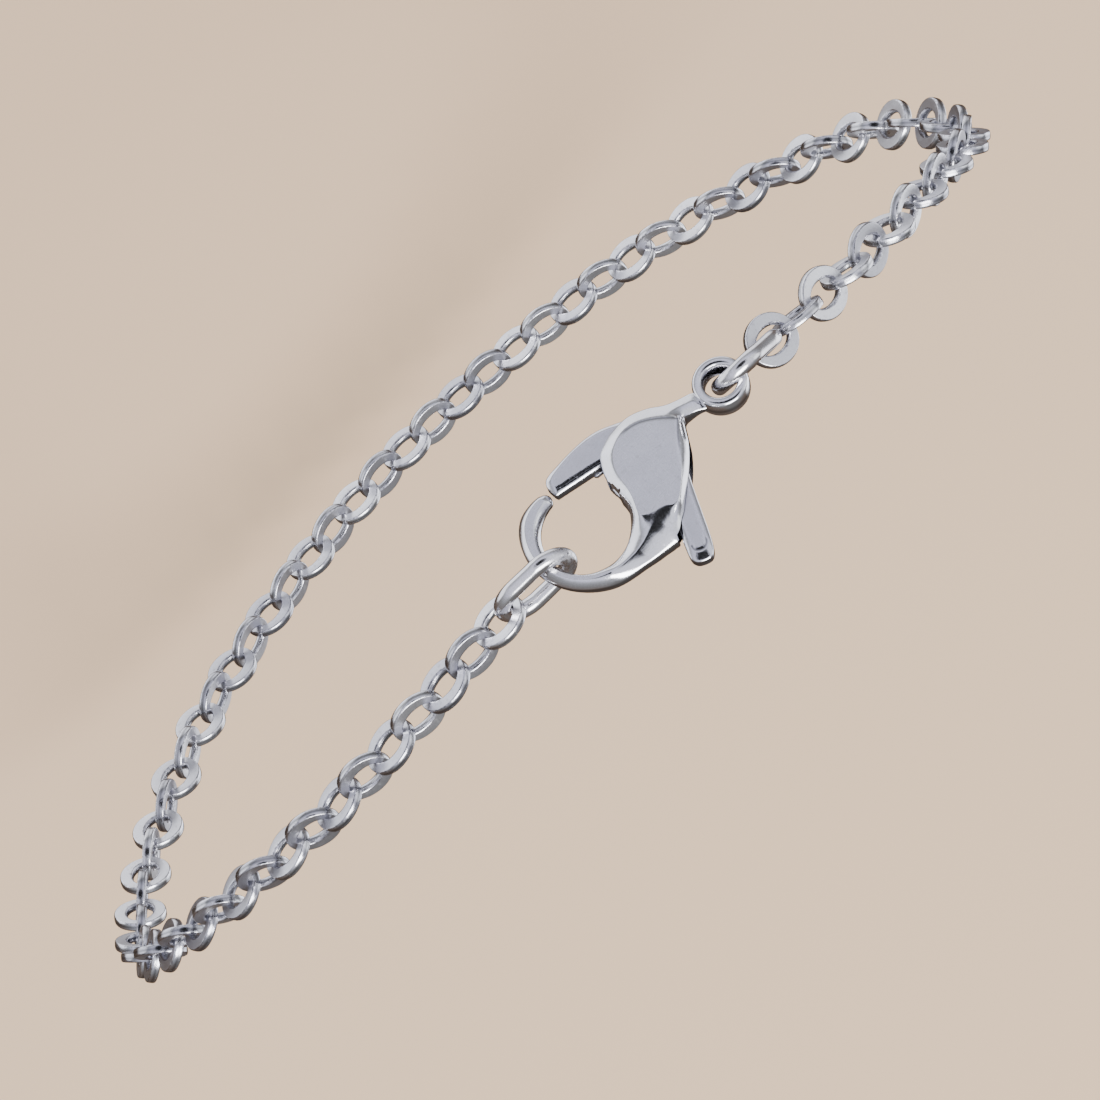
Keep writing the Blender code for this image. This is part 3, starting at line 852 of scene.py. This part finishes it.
def chain_mesh(settings, route):
    """All links of the chain in one mesh, each its own closed ring."""
    chain = settings.chain
    rng = random.Random(11)
    angles = route.seat_angles()
    count = len(link_section())
    vertices = []
    quads = []
    tones = []
    for index in range(chain.link_count):
        start, end = route.point(angles[index]), route.point(angles[index + 1])
        middle = (angles[index] + angles[index + 1]) / 2
        turned = chain.ring_side_roll + chain.roll_per_link * index
        if index % 2:
            roll = max(chain.roll, math.pi / 2 - turned)
        else:
            roll = -min(chain.roll, turned)
        roll += chain.looseness * math.radians(rng.uniform(-4, 4))
        place = route.link_place(start, end, middle, roll)
        tone = rng.random()
        loops = link_points(chain, rng)
        first = len(vertices)
        for loop in loops:
            vertices += [place @ point for point in loop]
        tones += [tone] * (len(loops) * count)
        rows = len(loops)
        for row in range(rows):
            here, there = first + row * count, first + (row + 1) % rows * count
            for column in range(count):
                onward = (column + 1) % count
                quads.append((here + column, here + onward, there + onward, there + column))
    mesh = bpy.data.meshes.new("chain_links")
    mesh.from_pydata(vertices, [], quads)
    attribute = mesh.attributes.new("link_tone", "FLOAT", "POINT")
    attribute.data.foreach_set("value", tones)
    # Painted shade: the wire's edges hold little face share, so their colour is darkened.
    flat = [1.0 if abs(rise) > 0.99 else 0.8 * abs(rise) for _, rise in link_section()]
    attribute = mesh.attributes.new("face_share", "FLOAT", "POINT")
    attribute.data.foreach_set("value", flat * (len(vertices) // count))
    turn_faces_out(mesh)
    shade(mesh, 50)
    return mesh


def turn_faces_out(mesh):
    """Make all faces point outwards."""
    shape = bmesh.new()
    shape.from_mesh(mesh)
    bmesh.ops.recalc_face_normals(shape, faces=shape.faces)
    shape.to_mesh(mesh)
    shape.free()


def oval_centre_line(long_side, wide_side, wire, steps):
    """Middle line of an oval link: two half rounds and straight sides."""
    radius = (wide_side - wire) / 2
    straight = long_side - wide_side
    points = []
    quarter = steps // 4
    for step in range(-quarter, quarter + 1):
        points.append(polar_point((straight / 2, 0), radius, 90 * step / quarter))
    for step in range(-quarter, quarter + 1):
        points.append(polar_point((-straight / 2, 0), radius, 180 + 90 * step / quarter))
    return even_line(points, (4 * radius + 2 * straight) / steps)


def end_link_mesh(name, settings, place, seed):
    """Link of round wire, with its solder seam at the far end."""
    ends = settings.end_links
    rng = random.Random(seed)
    line = oval_centre_line(ends.length, ends.width, ends.wire, 128)
    count = len(line)
    around = 28
    sections = []
    seams = []
    phase = rng.uniform(0, 6.28)
    for row in range(count):
        here = Vector((*line[row], 0))
        ahead = Vector((*line[(row + 1) % count], 0)) - Vector((*line[row - 1], 0))
        side = Vector((ahead.y, -ahead.x, 0)).normalized()
        from_seam = line[row][0] - ends.length / 2 + ends.wire / 2
        seam = math.exp(-(from_seam / (0.5 * ends.wire)) ** 2)
        swell = 1 + 0.012 * math.sin(5 * row / count * 2 * math.pi + phase) - 0.02 * seam
        radius = ends.wire / 2 * swell
        loop = []
        for column in range(around):
            turn = 2 * math.pi * column / around
            # The wire is worn a little flat on both broad sides.
            flat = radius * (1 - 0.05 * abs(math.sin(turn)) ** 6)
            loop.append(here + side * flat * math.cos(turn) + Vector((0, 0, flat * math.sin(turn))))
        sections.append(loop)
        seams.append(seam)
    shape = ring_of_sections(sections)
    layer = shape.verts.layers.float.new("seam")
    for index, vertex in enumerate(shape.verts):
        vertex[layer] = seams[index // around]
    shape.transform(place)
    mesh = finished_mesh(name, shape)
    shade(mesh, 60)
    return mesh


def clasp_edge(clasp, route):
    """Outline of the hook and the plates, with a rounded tip."""
    centre = tuple(route.eye_centre())[:2]
    tip, heel = HOOK_WIDTHS[0][0] + 4, HOOK_WIDTHS[-1][0]
    steps = 150
    outside = []
    for step in range(steps + 1):
        angle = tip + (heel - tip) * step / steps
        radius = clasp.eye_radius + clasp.hook_width * blend_table(HOOK_WIDTHS, angle)
        outside.append(polar_point(centre, radius, angle))
    lower = [route.body_point(pair) for pair in BODY_LOWER_EDGE]
    neck = [route.neck_point(pair) for pair in NECK_EDGE]
    upper = [route.body_point(pair) for pair in BODY_UPPER_EDGE]
    corners = (len(lower) + len(neck) // 2, len(lower) + len(neck) // 2 + 1)
    body = [outside[-1]] + lower + neck + upper
    body = smooth_line(body, clasp.mesh_step, corners, closed=False)[1:]
    inside = []
    for step in range(1, steps + 1):
        turned = (360 - tip) * step / steps
        radius = clasp.eye_radius * blend_table(EYE_REACH, turned)
        inside.append(polar_point(centre, radius, -turned))
    inner, outer = clasp.eye_radius, clasp.eye_radius + clasp.hook_width * HOOK_WIDTHS[0][1]
    cap = []
    for step in range(1, 10):
        turn = math.pi * (step / 10 - 0.5)
        radius = (inner + outer) / 2 + (outer - inner) / 2 * math.sin(turn)
        cap.append(polar_point(centre, radius, tip - 7.5 * math.cos(turn)))
    return even_line(outside + body + inside + cap, clasp.mesh_step * 0.7)


def hook_face(clasp, route):
    """Narrow flat face along the hook."""
    centre = tuple(route.eye_centre())[:2]
    inner = []
    outer = []
    for angle, low, high in HOOK_FACE:
        width = clasp.hook_width * blend_table(HOOK_WIDTHS, angle)
        inner.append(polar_point(centre, clasp.eye_radius + low * width, angle))
        outer.append(polar_point(centre, clasp.eye_radius + high * width, angle))
    line = smooth_line(inner + outer[::-1], clasp.mesh_step)
    return even_line(line, clasp.mesh_step * 0.8)


def clasp_heights(clasp, route, points):
    """Half the clasp's thickness at points of its plane."""
    left = route.body_left()
    right = left + clasp.body_length
    centre = route.eye_centre()
    heights = np.empty(len(points))
    for row, (x, y) in enumerate(points):
        if x > right:
            taper = blend_table(NECK_TAPER, (x - right) / clasp.ring_reach)
        elif x > left:
            taper = blend_table(BODY_TAPER, (x - left) / clasp.body_length)
        else:
            angle = math.degrees(math.atan2(y - centre.y, x - centre.x))
            taper = blend_table(HOOK_TAPER, angle % 360)
        heights[row] = taper * clasp.thickness / 2
    return heights


def slot_cutter(clasp, route):
    """Prism that opens the slot between the plates."""
    pivot = route.body_point(PIVOT)
    hub = [
        polar_point(pivot, clasp.hub_radius + clasp.lever_side_gap, -14 + 98 * step / 12)
        for step in range(13)
    ]
    points = [route.body_point(pair) for pair in SLOT_EYE_SIDE + SLOT_LOWER_SIDE]
    points += hub + [route.body_point(pair) for pair in SLOT_UPPER_SIDE]
    half = clasp.lever_thickness / 2 + clasp.lever_gap
    shape = bmesh.new()
    add_prism(shape, points, -half, half)
    return linked_object("slot", finished_mesh("slot", shape))


def squared(reach):
    """Reach of a circle's point, moved outwards so that the circle turns squarer."""
    return abs(reach) ** 0.6 * (1 if reach > 0 else -1)


def clasp_ring(clasp, route):
    """Ring of the clasp, a tall rounded section turned about its axis."""
    centre = route.ring_centre()
    band = clasp.ring_radius - clasp.ring_hole
    half = clasp.ring_thickness / 2
    steps, around = 72, 28
    sections = []
    for step in range(steps):
        turn = 2 * math.pi * step / steps
        loop = []
        for column in range(around):
            lean = 2 * math.pi * column / around
            across, up = squared(math.cos(lean)), squared(math.sin(lean))
            radius = clasp.ring_hole + band / 2 + band / 2 * across
            loop.append(Vector((
                centre.x + radius * math.cos(turn), radius * math.sin(turn), half * up,
            )))
        sections.append(loop)
    shape = ring_of_sections(sections)
    tone = shape.verts.layers.float.new("face_share")
    for vertex in shape.verts:
        # Painted shade: the ring's outer and inner sides hold little face share, so their colour is
        # darkened.
        vertex[tone] = 0.82 * min(1.0, 1.25 * abs(vertex.co.z) / half)
    return shape


def cut_mesh(mesh, cutter):
    """Mesh less the cutter, which is used up."""
    whole = linked_object("whole", mesh)
    modifier = whole.modifiers.new("slot", "BOOLEAN")
    modifier.operation = "DIFFERENCE"
    modifier.solver = "MANIFOLD"
    modifier.object = cutter
    evaluated = whole.evaluated_get(bpy.context.evaluated_depsgraph_get())
    cut = bpy.data.meshes.new_from_object(evaluated)
    for used in (whole, cutter):
        bpy.data.objects.remove(used)
    return cut


def clasp_body_mesh(settings, route):
    """Hook, plates, neck and ring, with the slot for the lever cut through."""
    clasp = settings.clasp
    edge = clasp_edge(clasp, route)
    face = smooth_line(
        [route.body_point(pair) for pair in BODY_FACE], clasp.mesh_step, BODY_FACE_CORNERS,
    )
    faces = [even_line(face, clasp.mesh_step * 0.8), hook_face(clasp, route)]

    def height(points):
        return clasp_heights(clasp, route, points)

    def shares(points):
        along = (points[:, 0] - route.body_left()) / clasp.body_length
        return along, points[:, 1] / clasp.body_width

    def rim_height(points):
        half = clasp_heights(clasp, route, points)
        return np.maximum(half - clasp.rim_drop - clasp.heel_drop * heel(points), 0.3 * half)

    def heel(points):
        along, across = shares(points)
        return 1 - np.clip(smooth_step(along, 0.16, 0.34) + smooth_step(across, -0.5, -0.2), 0, 1)

    def crease(points):
        along, across = shares(points)
        return clasp.crease * smooth_step(along, 0.30, 0.48) * smooth_step(across, -0.36, -0.12)

    form = (height, rim_height, heel, crease)
    plate = plate_mesh("clasp_casting", edge, faces, form, clasp.mesh_step)
    shape = bmesh.new()
    shape.from_mesh(cut_mesh(plate, slot_cutter(clasp, route)))
    shape.from_mesh(finished_mesh("ring", clasp_ring(clasp, route)))
    shape.transform(route.clasp_place())
    whole = bpy.data.meshes.new("clasp_casting")
    shape.to_mesh(whole)
    shape.free()
    shade(whole, 38)
    return whole


def add_stop(mesh, settings, route):
    """Low stop under the gate, on the lever's rear side."""
    clasp = settings.clasp
    foot, top = (level * clasp.lever_thickness / 2 for level in STOP_LEVELS)
    corners = [route.body_point(pair) for pair in STOP_EDGE]
    shape = bmesh.new()
    shape.from_mesh(mesh)
    tone = shape.verts.layers.float["face_share"]
    faces, high = add_prism(shape, corners, foot, top)
    # Only the stop's top takes a face share; its foot and sides get painted shade.
    for vertex in high:
        vertex[tone] = 0.9
    lines = list({line for face in faces for line in face.edges})
    bmesh.ops.bevel(shape, geom=lines, offset=STOP_BEVEL, segments=3, affect="EDGES")
    bmesh.ops.recalc_face_normals(shape, faces=shape.faces)
    shape.to_mesh(mesh)
    shape.free()


def lever_mesh(settings, route):
    """Gate and trigger in one plate."""
    clasp = settings.clasp
    pivot = route.body_point(PIVOT)
    edge = [route.body_point(pair) for pair in GATE_EDGE + TAIL_EDGE]
    edge += [polar_point(pivot, clasp.hub_radius, -20 + 100 * step / 6) for step in range(7)]
    spacing = clasp.mesh_step * 0.6
    edge = even_line(smooth_line(edge, spacing, LEVER_CORNERS), spacing)
    faces = []
    for table in (GATE_FACE, TAIL_FACE):
        line = smooth_line([route.body_point(pair) for pair in table], spacing)
        faces.append(even_line(line, clasp.mesh_step * 0.7))
    half = clasp.lever_thickness / 2

    def height(points):
        return np.full(len(points), half)

    def rim_height(points):
        return np.full(len(points), half - clasp.lever_rim)

    def roundness(points):
        return np.zeros(len(points))

    def crease(points):
        along = (points[:, 0] - route.body_left()) / clasp.body_length
        across = points[:, 1] / clasp.body_width
        gate_line = (along < 0.30) * smooth_step(0.36 - across, 0.0, 0.04) * (across > 0)
        tip_line = smooth_step(-across, 0.76, 0.82) * smooth_step(0.22 - along, 0.0, 0.06)
        return clasp.crease * (0.12 + 1.5 * np.maximum(gate_line, tip_line))

    form = (height, rim_height, roundness, crease)
    mesh = plate_mesh("clasp_trigger", edge, faces, form, clasp.mesh_step)
    add_stop(mesh, settings, route)
    mesh.transform(route.clasp_place())
    shade(mesh, 38)
    return mesh


class Nodes:
    """Small helper that adds nodes to a node tree and links them."""

    def __init__(self, tree):
        self.tree = tree

    def feed(self, socket, value):
        """Link an output to the socket, or set its plain value."""
        if hasattr(value, "is_output"):
            self.tree.links.new(value, socket)
        else:
            socket.default_value = value

    def node(self, kind, inputs, **options):
        """New node with its options, and its inputs fed by name or number."""
        made = self.tree.nodes.new(kind)
        for name, value in options.items():
            setattr(made, name, value)
        for socket, value in inputs.items():
            self.feed(made.inputs[socket], value)
        return made

    def math(self, operation, left, right):
        return self.node("ShaderNodeMath", {0: left, 1: right}, operation=operation).outputs[0]

    def ramp(self, value, stops):
        """Ramp between stops, each a place and a level or a colour."""
        made = self.node("ShaderNodeValToRGB", {0: value})
        elements = made.color_ramp.elements
        while len(elements) < len(stops):
            elements.new(0.5)
        for element, (place, level) in zip(elements, stops):
            element.position = place
            tint = level if isinstance(level, tuple) else (level, level, level)
            element.color = (*tint, 1)
        return made.outputs[0]

    def mix(self, factor, left, right, blend="MIX"):
        inputs = {"Factor": factor, "A": left, "B": right}
        made = self.node("ShaderNodeMix", inputs, data_type="RGBA", blend_type=blend)
        return made.outputs["Result"]

    def multiply(self, left, right):
        return self.mix(1.0, left, right, "MULTIPLY")


class Recipe(Nodes):
    """New material, with the nodes that a finish is made of."""

    def __init__(self, name):
        self.material = bpy.data.materials.new(name)
        self.material.use_nodes = True
        super().__init__(self.material.node_tree)
        self.shader = self.tree.nodes["Principled BSDF"]

    def noise(self, scale, detail, stretch=(1, 1, 1), turn=(0, 0, 0)):
        """Noise in metres of the object, stretched and turned."""
        place = self.node("ShaderNodeTexCoord", {}).outputs["Object"]
        inputs = {"Vector": place, "Rotation": turn, "Scale": stretch}
        mapping = self.node("ShaderNodeMapping", inputs)
        inputs = {"Vector": mapping.outputs[0], "Scale": scale, "Detail": detail}
        return self.node("ShaderNodeTexNoise", inputs).outputs[0]

    def attribute(self, name):
        return self.node("ShaderNodeAttribute", {}, attribute_name=name).outputs["Fac"]


def worn_share(recipe, grain, pits):
    """Where the metal is dull: in small spots, and in the pits of a seam."""
    spots = recipe.ramp(recipe.noise(SPOT_SCALE, 4.0), [(0.60, 0.0), (0.72, 1.0)])
    worn = recipe.math("MULTIPLY", spots, 0.35 * grain)
    if pits:
        pitted = recipe.ramp(recipe.noise(PIT_SCALE, 5.0), [(0.42, 0.0), (0.60, 1.0)])
        pitted = recipe.math("MULTIPLY", recipe.attribute(pits), pitted)
        worn = recipe.math("MAXIMUM", worn, pitted)
    return worn


def metal_colour(recipe, tint, looks, worn, tone, face):
    """Colour with clouds and speckles, painted shade on the sides and nicked rims."""
    worn_colour = (*looks.worn_colour, 1)
    pale = tuple(min(1.0, channel * 1.06) for channel in tint)
    deep = tuple(channel * 0.93 for channel in tint)
    clouds = recipe.ramp(recipe.noise(CLOUD_SCALE, 3.0), [(0.35, 0.0), (0.65, 1.0)])
    clouded = recipe.mix(clouds, (*deep, 1), (*pale, 1))
    made = recipe.mix(0.5, recipe.mix(worn, (*tint, 1), worn_colour), clouded)
    speckles = recipe.ramp(recipe.noise(SPECKLE_SCALE, 2.0), [(0.38, 0.90), (0.62, 1.0)])
    made = recipe.multiply(made, speckles)
    if face:
        # Painted shade: where a point holds little face share, on side walls, outer edges and fine
        # lines, its colour is darkened.
        sides = [(0.0, looks.side_shade), (0.45, 1.0)]
        made = recipe.multiply(made, recipe.ramp(recipe.attribute(face), sides))
    if tone:
        rims = [(0.40, 0.0), (0.70, 1.0), (0.92, 1.0), (1.0, 0.0)]
        rims = recipe.ramp(recipe.attribute(face), rims)
        nicks = recipe.ramp(recipe.noise(NICK_SCALE, 5.0), [(0.50, 0.0), (0.60, 1.0)])
        made = recipe.mix(recipe.math("MULTIPLY", rims, nicks), made, worn_colour)
        tones = recipe.mix(recipe.attribute(tone), DARK_LINK, (1, 1, 1, 1))
        made = recipe.multiply(made, tones)
    return made


def polished_metal(name, tint, looks, grain=1.0, pits=None, tone=None, face=None):
    """Polished white metal with fine scratches, dull spots and small nicks.

    The last three name attributes of the mesh: where a seam has pits, how bright
    each link is and how much of a polished face a point has, which also sets the painted shade on
    sides, edges and fine lines.
    """
    recipe = Recipe(name)
    shader = recipe.shader
    shader.inputs["Metallic"].default_value = 1.0
    scratches = recipe.math(
        "ADD",
        recipe.noise(SCRATCH_SCALES[0], 6.0, (1, 14, 3), (0.3, 0.1, 0.5)),
        recipe.noise(SCRATCH_SCALES[1], 6.0, (16, 1, 2), (0.1, 0.4, 1.1)),
    )
    scratches = recipe.math("MULTIPLY", scratches, 0.5)
    worn = worn_share(recipe, grain, pits)
    made = metal_colour(recipe, tint, looks, worn, tone, face)
    recipe.feed(shader.inputs["Base Color"], made)
    rough = recipe.math("MULTIPLY", scratches, 0.16 * grain)
    rough = recipe.math("ADD", rough, looks.polish - 0.04)
    rough = recipe.math("ADD", rough, recipe.math("MULTIPLY", worn, 0.35))
    if face:
        flat = recipe.ramp(recipe.attribute(face), [(0.86, 0.0), (1.0, 1.0)])
        rough = recipe.math("ADD", rough, recipe.math("MULTIPLY", flat, looks.face_haze))
    recipe.feed(shader.inputs["Roughness"], rough)
    height = recipe.math("SUBTRACT", scratches, recipe.math("MULTIPLY", worn, 0.8))
    fine = recipe.noise(GRAIN_SCALE, 3.0)
    height = recipe.math("ADD", height, recipe.math("MULTIPLY", fine, 0.35))
    strength = looks.scratches * grain
    bump = {"Strength": strength, "Distance": BUMP_DEPTH, "Height": height}
    recipe.feed(shader.inputs["Normal"], recipe.node("ShaderNodeBump", bump).outputs[0])
    return recipe.material


def floor_finish(tint):
    """Matt pale floor with a faint unevenness."""
    recipe = Recipe("floor_paper")
    shader = recipe.shader
    shader.inputs["Roughness"].default_value = 0.85
    shader.inputs["Specular IOR Level"].default_value = 0.2
    cloud = recipe.noise(60.0, 3.0)
    deep = tuple(channel * 0.985 for channel in tint)
    paper = recipe.mix(cloud, (*deep, 1), (*tint, 1))
    recipe.feed(shader.inputs["Base Color"], paper)
    return recipe.material


def way_to(azimuth, height):
    """Direction at an azimuth from +X and a height, in degrees."""
    turn, rise = math.radians(azimuth), math.radians(height)
    return Vector((
        math.cos(rise) * math.cos(turn), math.cos(rise) * math.sin(turn), math.sin(rise),
    ))


def studio_walls(studio):
    """Studio round the bracelet: grey walls with bright and dark cards on them."""
    world = bpy.data.worlds.new("studio")
    world.use_nodes = True
    nodes = Nodes(world.node_tree)
    way = nodes.node("ShaderNodeTexCoord", {}).outputs["Generated"]
    rise_of_way = nodes.node("ShaderNodeSeparateXYZ", {0: way}).outputs["Z"]
    height = nodes.node("ShaderNodeMapRange", {"Value": rise_of_way, "From Min": -1.0})
    walls = [((rise + 1) / 2, tint) for rise, tint in WALL_COLOURS]
    shown = nodes.ramp(height.outputs[0], walls)
    for azimuth, rise, reach, soft, level, tint in CARDS:
        ways = {0: way, 1: way_to(azimuth, rise)}
        towards = nodes.node("ShaderNodeVectorMath", ways, operation="DOT_PRODUCT")
        edge = {
            "Value": towards.outputs["Value"],
            "From Min": math.cos(math.radians(reach + soft)),
            "From Max": math.cos(math.radians(reach - soft)),
        }
        edge = nodes.node("ShaderNodeMapRange", edge, interpolation_type="SMOOTHSTEP")
        card = (*(level * channel for channel in tint), 1)
        shown = nodes.mix(edge.outputs[0], shown, card)
    seen = nodes.node("ShaderNodeLightPath", {}).outputs["Is Camera Ray"]
    background = nodes.tree.nodes["Background"]
    nodes.feed(background.inputs["Color"], nodes.mix(seen, shown, BACKDROP))
    background.inputs["Strength"].default_value = studio.wall_light
    return world


def add_area_light(name, place, size, power):
    """Soft rectangular light that shines at the loop's middle."""
    light = bpy.data.lights.new(name, "AREA")
    light.shape = "RECTANGLE"
    light.size, light.size_y = size
    light.energy = power
    lamp = linked_object(name, light)
    lamp.location = place
    lamp.rotation_euler = (-place).to_track_quat("-Z", "Y").to_euler()
    lamp.visible_camera = False


def settings_and_route(context):
    """The bracelet's settings and the route that follows from them."""
    settings = context.scene.bracelet
    return settings, Route(settings)


class BRACELET_OT_chain(bpy.types.Operator):
    """Add the flattened oval links of the chain"""

    bl_idname = "bracelet.chain"
    bl_label = "Add chain"

    def execute(self, context):
        settings, route = settings_and_route(context)
        looks = settings.metal
        metal = polished_metal(
            "link_metal", looks.link_colour, looks, 1.3, tone="link_tone", face="face_share",
        )
        mesh = chain_mesh(settings, route)
        add_piece("chain_links", mesh, metal, "loop", "chain")
        return {"FINISHED"}


class BRACELET_OT_end_links(bpy.types.Operator):
    """Add the two round-wire links that join the chain to the clasp"""

    bl_idname = "bracelet.end_links"
    bl_label = "Add end links"

    def execute(self, context):
        settings, route = settings_and_route(context)
        ends, looks = settings.end_links, settings.metal
        metal = polished_metal("wire_metal", looks.wire_colour, looks, 1.0, pits="seam")
        inside = ends.length - 2 * ends.wire
        ways = (
            ("claw_link", "end_link_claw", route.claw_contact(), route.chain_end(), ends.claw_roll),
            ("ring_link", "end_link_ring", route.ring_contact(), route.chain_start(), ends.ring_roll),
        )
        for seed, (name, node, contact, angle, roll) in enumerate(ways):
            far = contact + (route.point(angle) - contact).normalized() * inside
            start, end = (contact, far) if far.x > contact.x else (far, contact)
            place = route.link_place(start, end, angle, roll)
            mesh = end_link_mesh(name, settings, place, seed)
            add_piece(name, mesh, metal, "loop", node)
        return {"FINISHED"}


class BRACELET_OT_clasp_body(bpy.types.Operator):
    """Add the clasp's hook, plates, neck and ring"""

    bl_idname = "bracelet.clasp_body"
    bl_label = "Add clasp body"

    def execute(self, context):
        settings, route = settings_and_route(context)
        looks = settings.metal
        metal = polished_metal("casting_metal", looks.body_colour, looks, 0.7, face="face_share")
        mesh = clasp_body_mesh(settings, route)
        add_piece("clasp_casting", mesh, metal, "loop", "clasp_body")
        return {"FINISHED"}


class BRACELET_OT_clasp_lever(bpy.types.Operator):
    """Add the clasp's gate and trigger"""

    bl_idname = "bracelet.clasp_lever"
    bl_label = "Add clasp lever"

    def execute(self, context):
        settings, route = settings_and_route(context)
        looks = settings.metal
        metal = polished_metal("lever_metal", looks.lever_colour, looks, 1.0, face="face_share")
        mesh = lever_mesh(settings, route)
        add_piece("clasp_trigger", mesh, metal, "lever", "clasp_lever")
        return {"FINISHED"}


class BRACELET_OT_studio(bpy.types.Operator):
    """Add the pale floor, the soft lights and the camera"""

    bl_idname = "bracelet.studio"
    bl_label = "Add studio"

    def execute(self, context):
        scene = context.scene
        studio = scene.bracelet.studio
        low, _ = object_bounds()
        half = studio.floor_size / 2
        level = low[2] - studio.floor_drop
        mesh = bpy.data.meshes.new("floor")
        corners = [(-half, -half), (half, -half), (half, half), (-half, half)]
        mesh.from_pydata([(x, y, level) for x, y in corners], [], [(0, 1, 2, 3)])
        mesh.materials.append(floor_finish(studio.floor_colour))
        floor = linked_object("floor", mesh)
        floor.visible_glossy = False
        floor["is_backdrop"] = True
        scene.world = studio_walls(studio)
        place = studio.light_distance * way_to(*LIGHT_WAY)
        add_area_light("main_light", place, LIGHT_SIZE, studio.main_power)
        self.add_camera(scene, studio)
        return {"FINISHED"}

    def add_camera(self, scene, studio):
        """Camera over the clasp, turned so that the chain runs up to the right."""
        tilt = studio.tilt
        along = Vector((math.cos(tilt), 0, math.sin(tilt)))
        across = Vector((0, -1, 0))
        back = Vector((-math.sin(tilt), 0, math.cos(tilt)))
        data = bpy.data.cameras.new("camera")
        data.sensor_width = SENSOR_WIDTH
        data.lens = SENSOR_WIDTH * studio.distance * PIXELS_PER_METRE / PICTURE_WIDTH
        data.clip_start = 0.01
        data.clip_end = 20.0
        camera = linked_object("camera", data)
        right = (along + across).normalized()
        up = (along - across).normalized()
        turn = Matrix((right, up, back)).transposed().to_4x4()
        shift = (along * SHIFT_ALONG + across * SHIFT_ACROSS) / PIXELS_PER_METRE
        place = back * studio.distance - shift
        camera.matrix_world = Matrix.Translation(place) @ turn
        scene.camera = camera


class BRACELET_PT_pieces(bpy.types.Panel):
    """Lists the pieces of the bracelet and their sizes"""

    bl_label = "Bracelet"
    bl_idname = "BRACELET_PT_pieces"
    bl_space_type = "VIEW_3D"
    bl_region_type = "UI"
    bl_category = "Bracelet"

    def draw(self, context):
        layout = self.layout
        settings = context.scene.bracelet
        for operator in OPERATORS:
            layout.operator(operator.bl_idname)
        for group in (settings.chain, settings.end_links, settings.clasp,
                      settings.metal, settings.studio):
            box = layout.box()
            for name in group.bl_rna.properties.keys():
                if name not in ("rna_type", "name"):
                    box.prop(group, name)


OPERATORS = (
    BRACELET_OT_chain,
    BRACELET_OT_end_links,
    BRACELET_OT_clasp_body,
    BRACELET_OT_clasp_lever,
    BRACELET_OT_studio,
)
CLASSES = (
    ChainSizes,
    EndLinkSizes,
    ClaspSizes,
    MetalLooks,
    StudioLooks,
    BraceletSettings,
    *OPERATORS,
    BRACELET_PT_pieces,
)


def register():
    for item in CLASSES:
        bpy.utils.register_class(item)
    bpy.types.Scene.bracelet = bpy.props.PointerProperty(
        type=BraceletSettings, name="Bracelet", description="Sizes and looks of the bracelet",
    )


def unregister():
    del bpy.types.Scene.bracelet
    for item in reversed(CLASSES):
        bpy.utils.unregister_class(item)


def main():
    """Build every piece and the studio."""
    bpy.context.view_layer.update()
    register()
    bpy.ops.bracelet.chain()
    bpy.ops.bracelet.end_links()
    bpy.ops.bracelet.clasp_body()
    bpy.ops.bracelet.clasp_lever()
    bpy.ops.bracelet.studio()


if __name__ == "__main__":
    main()
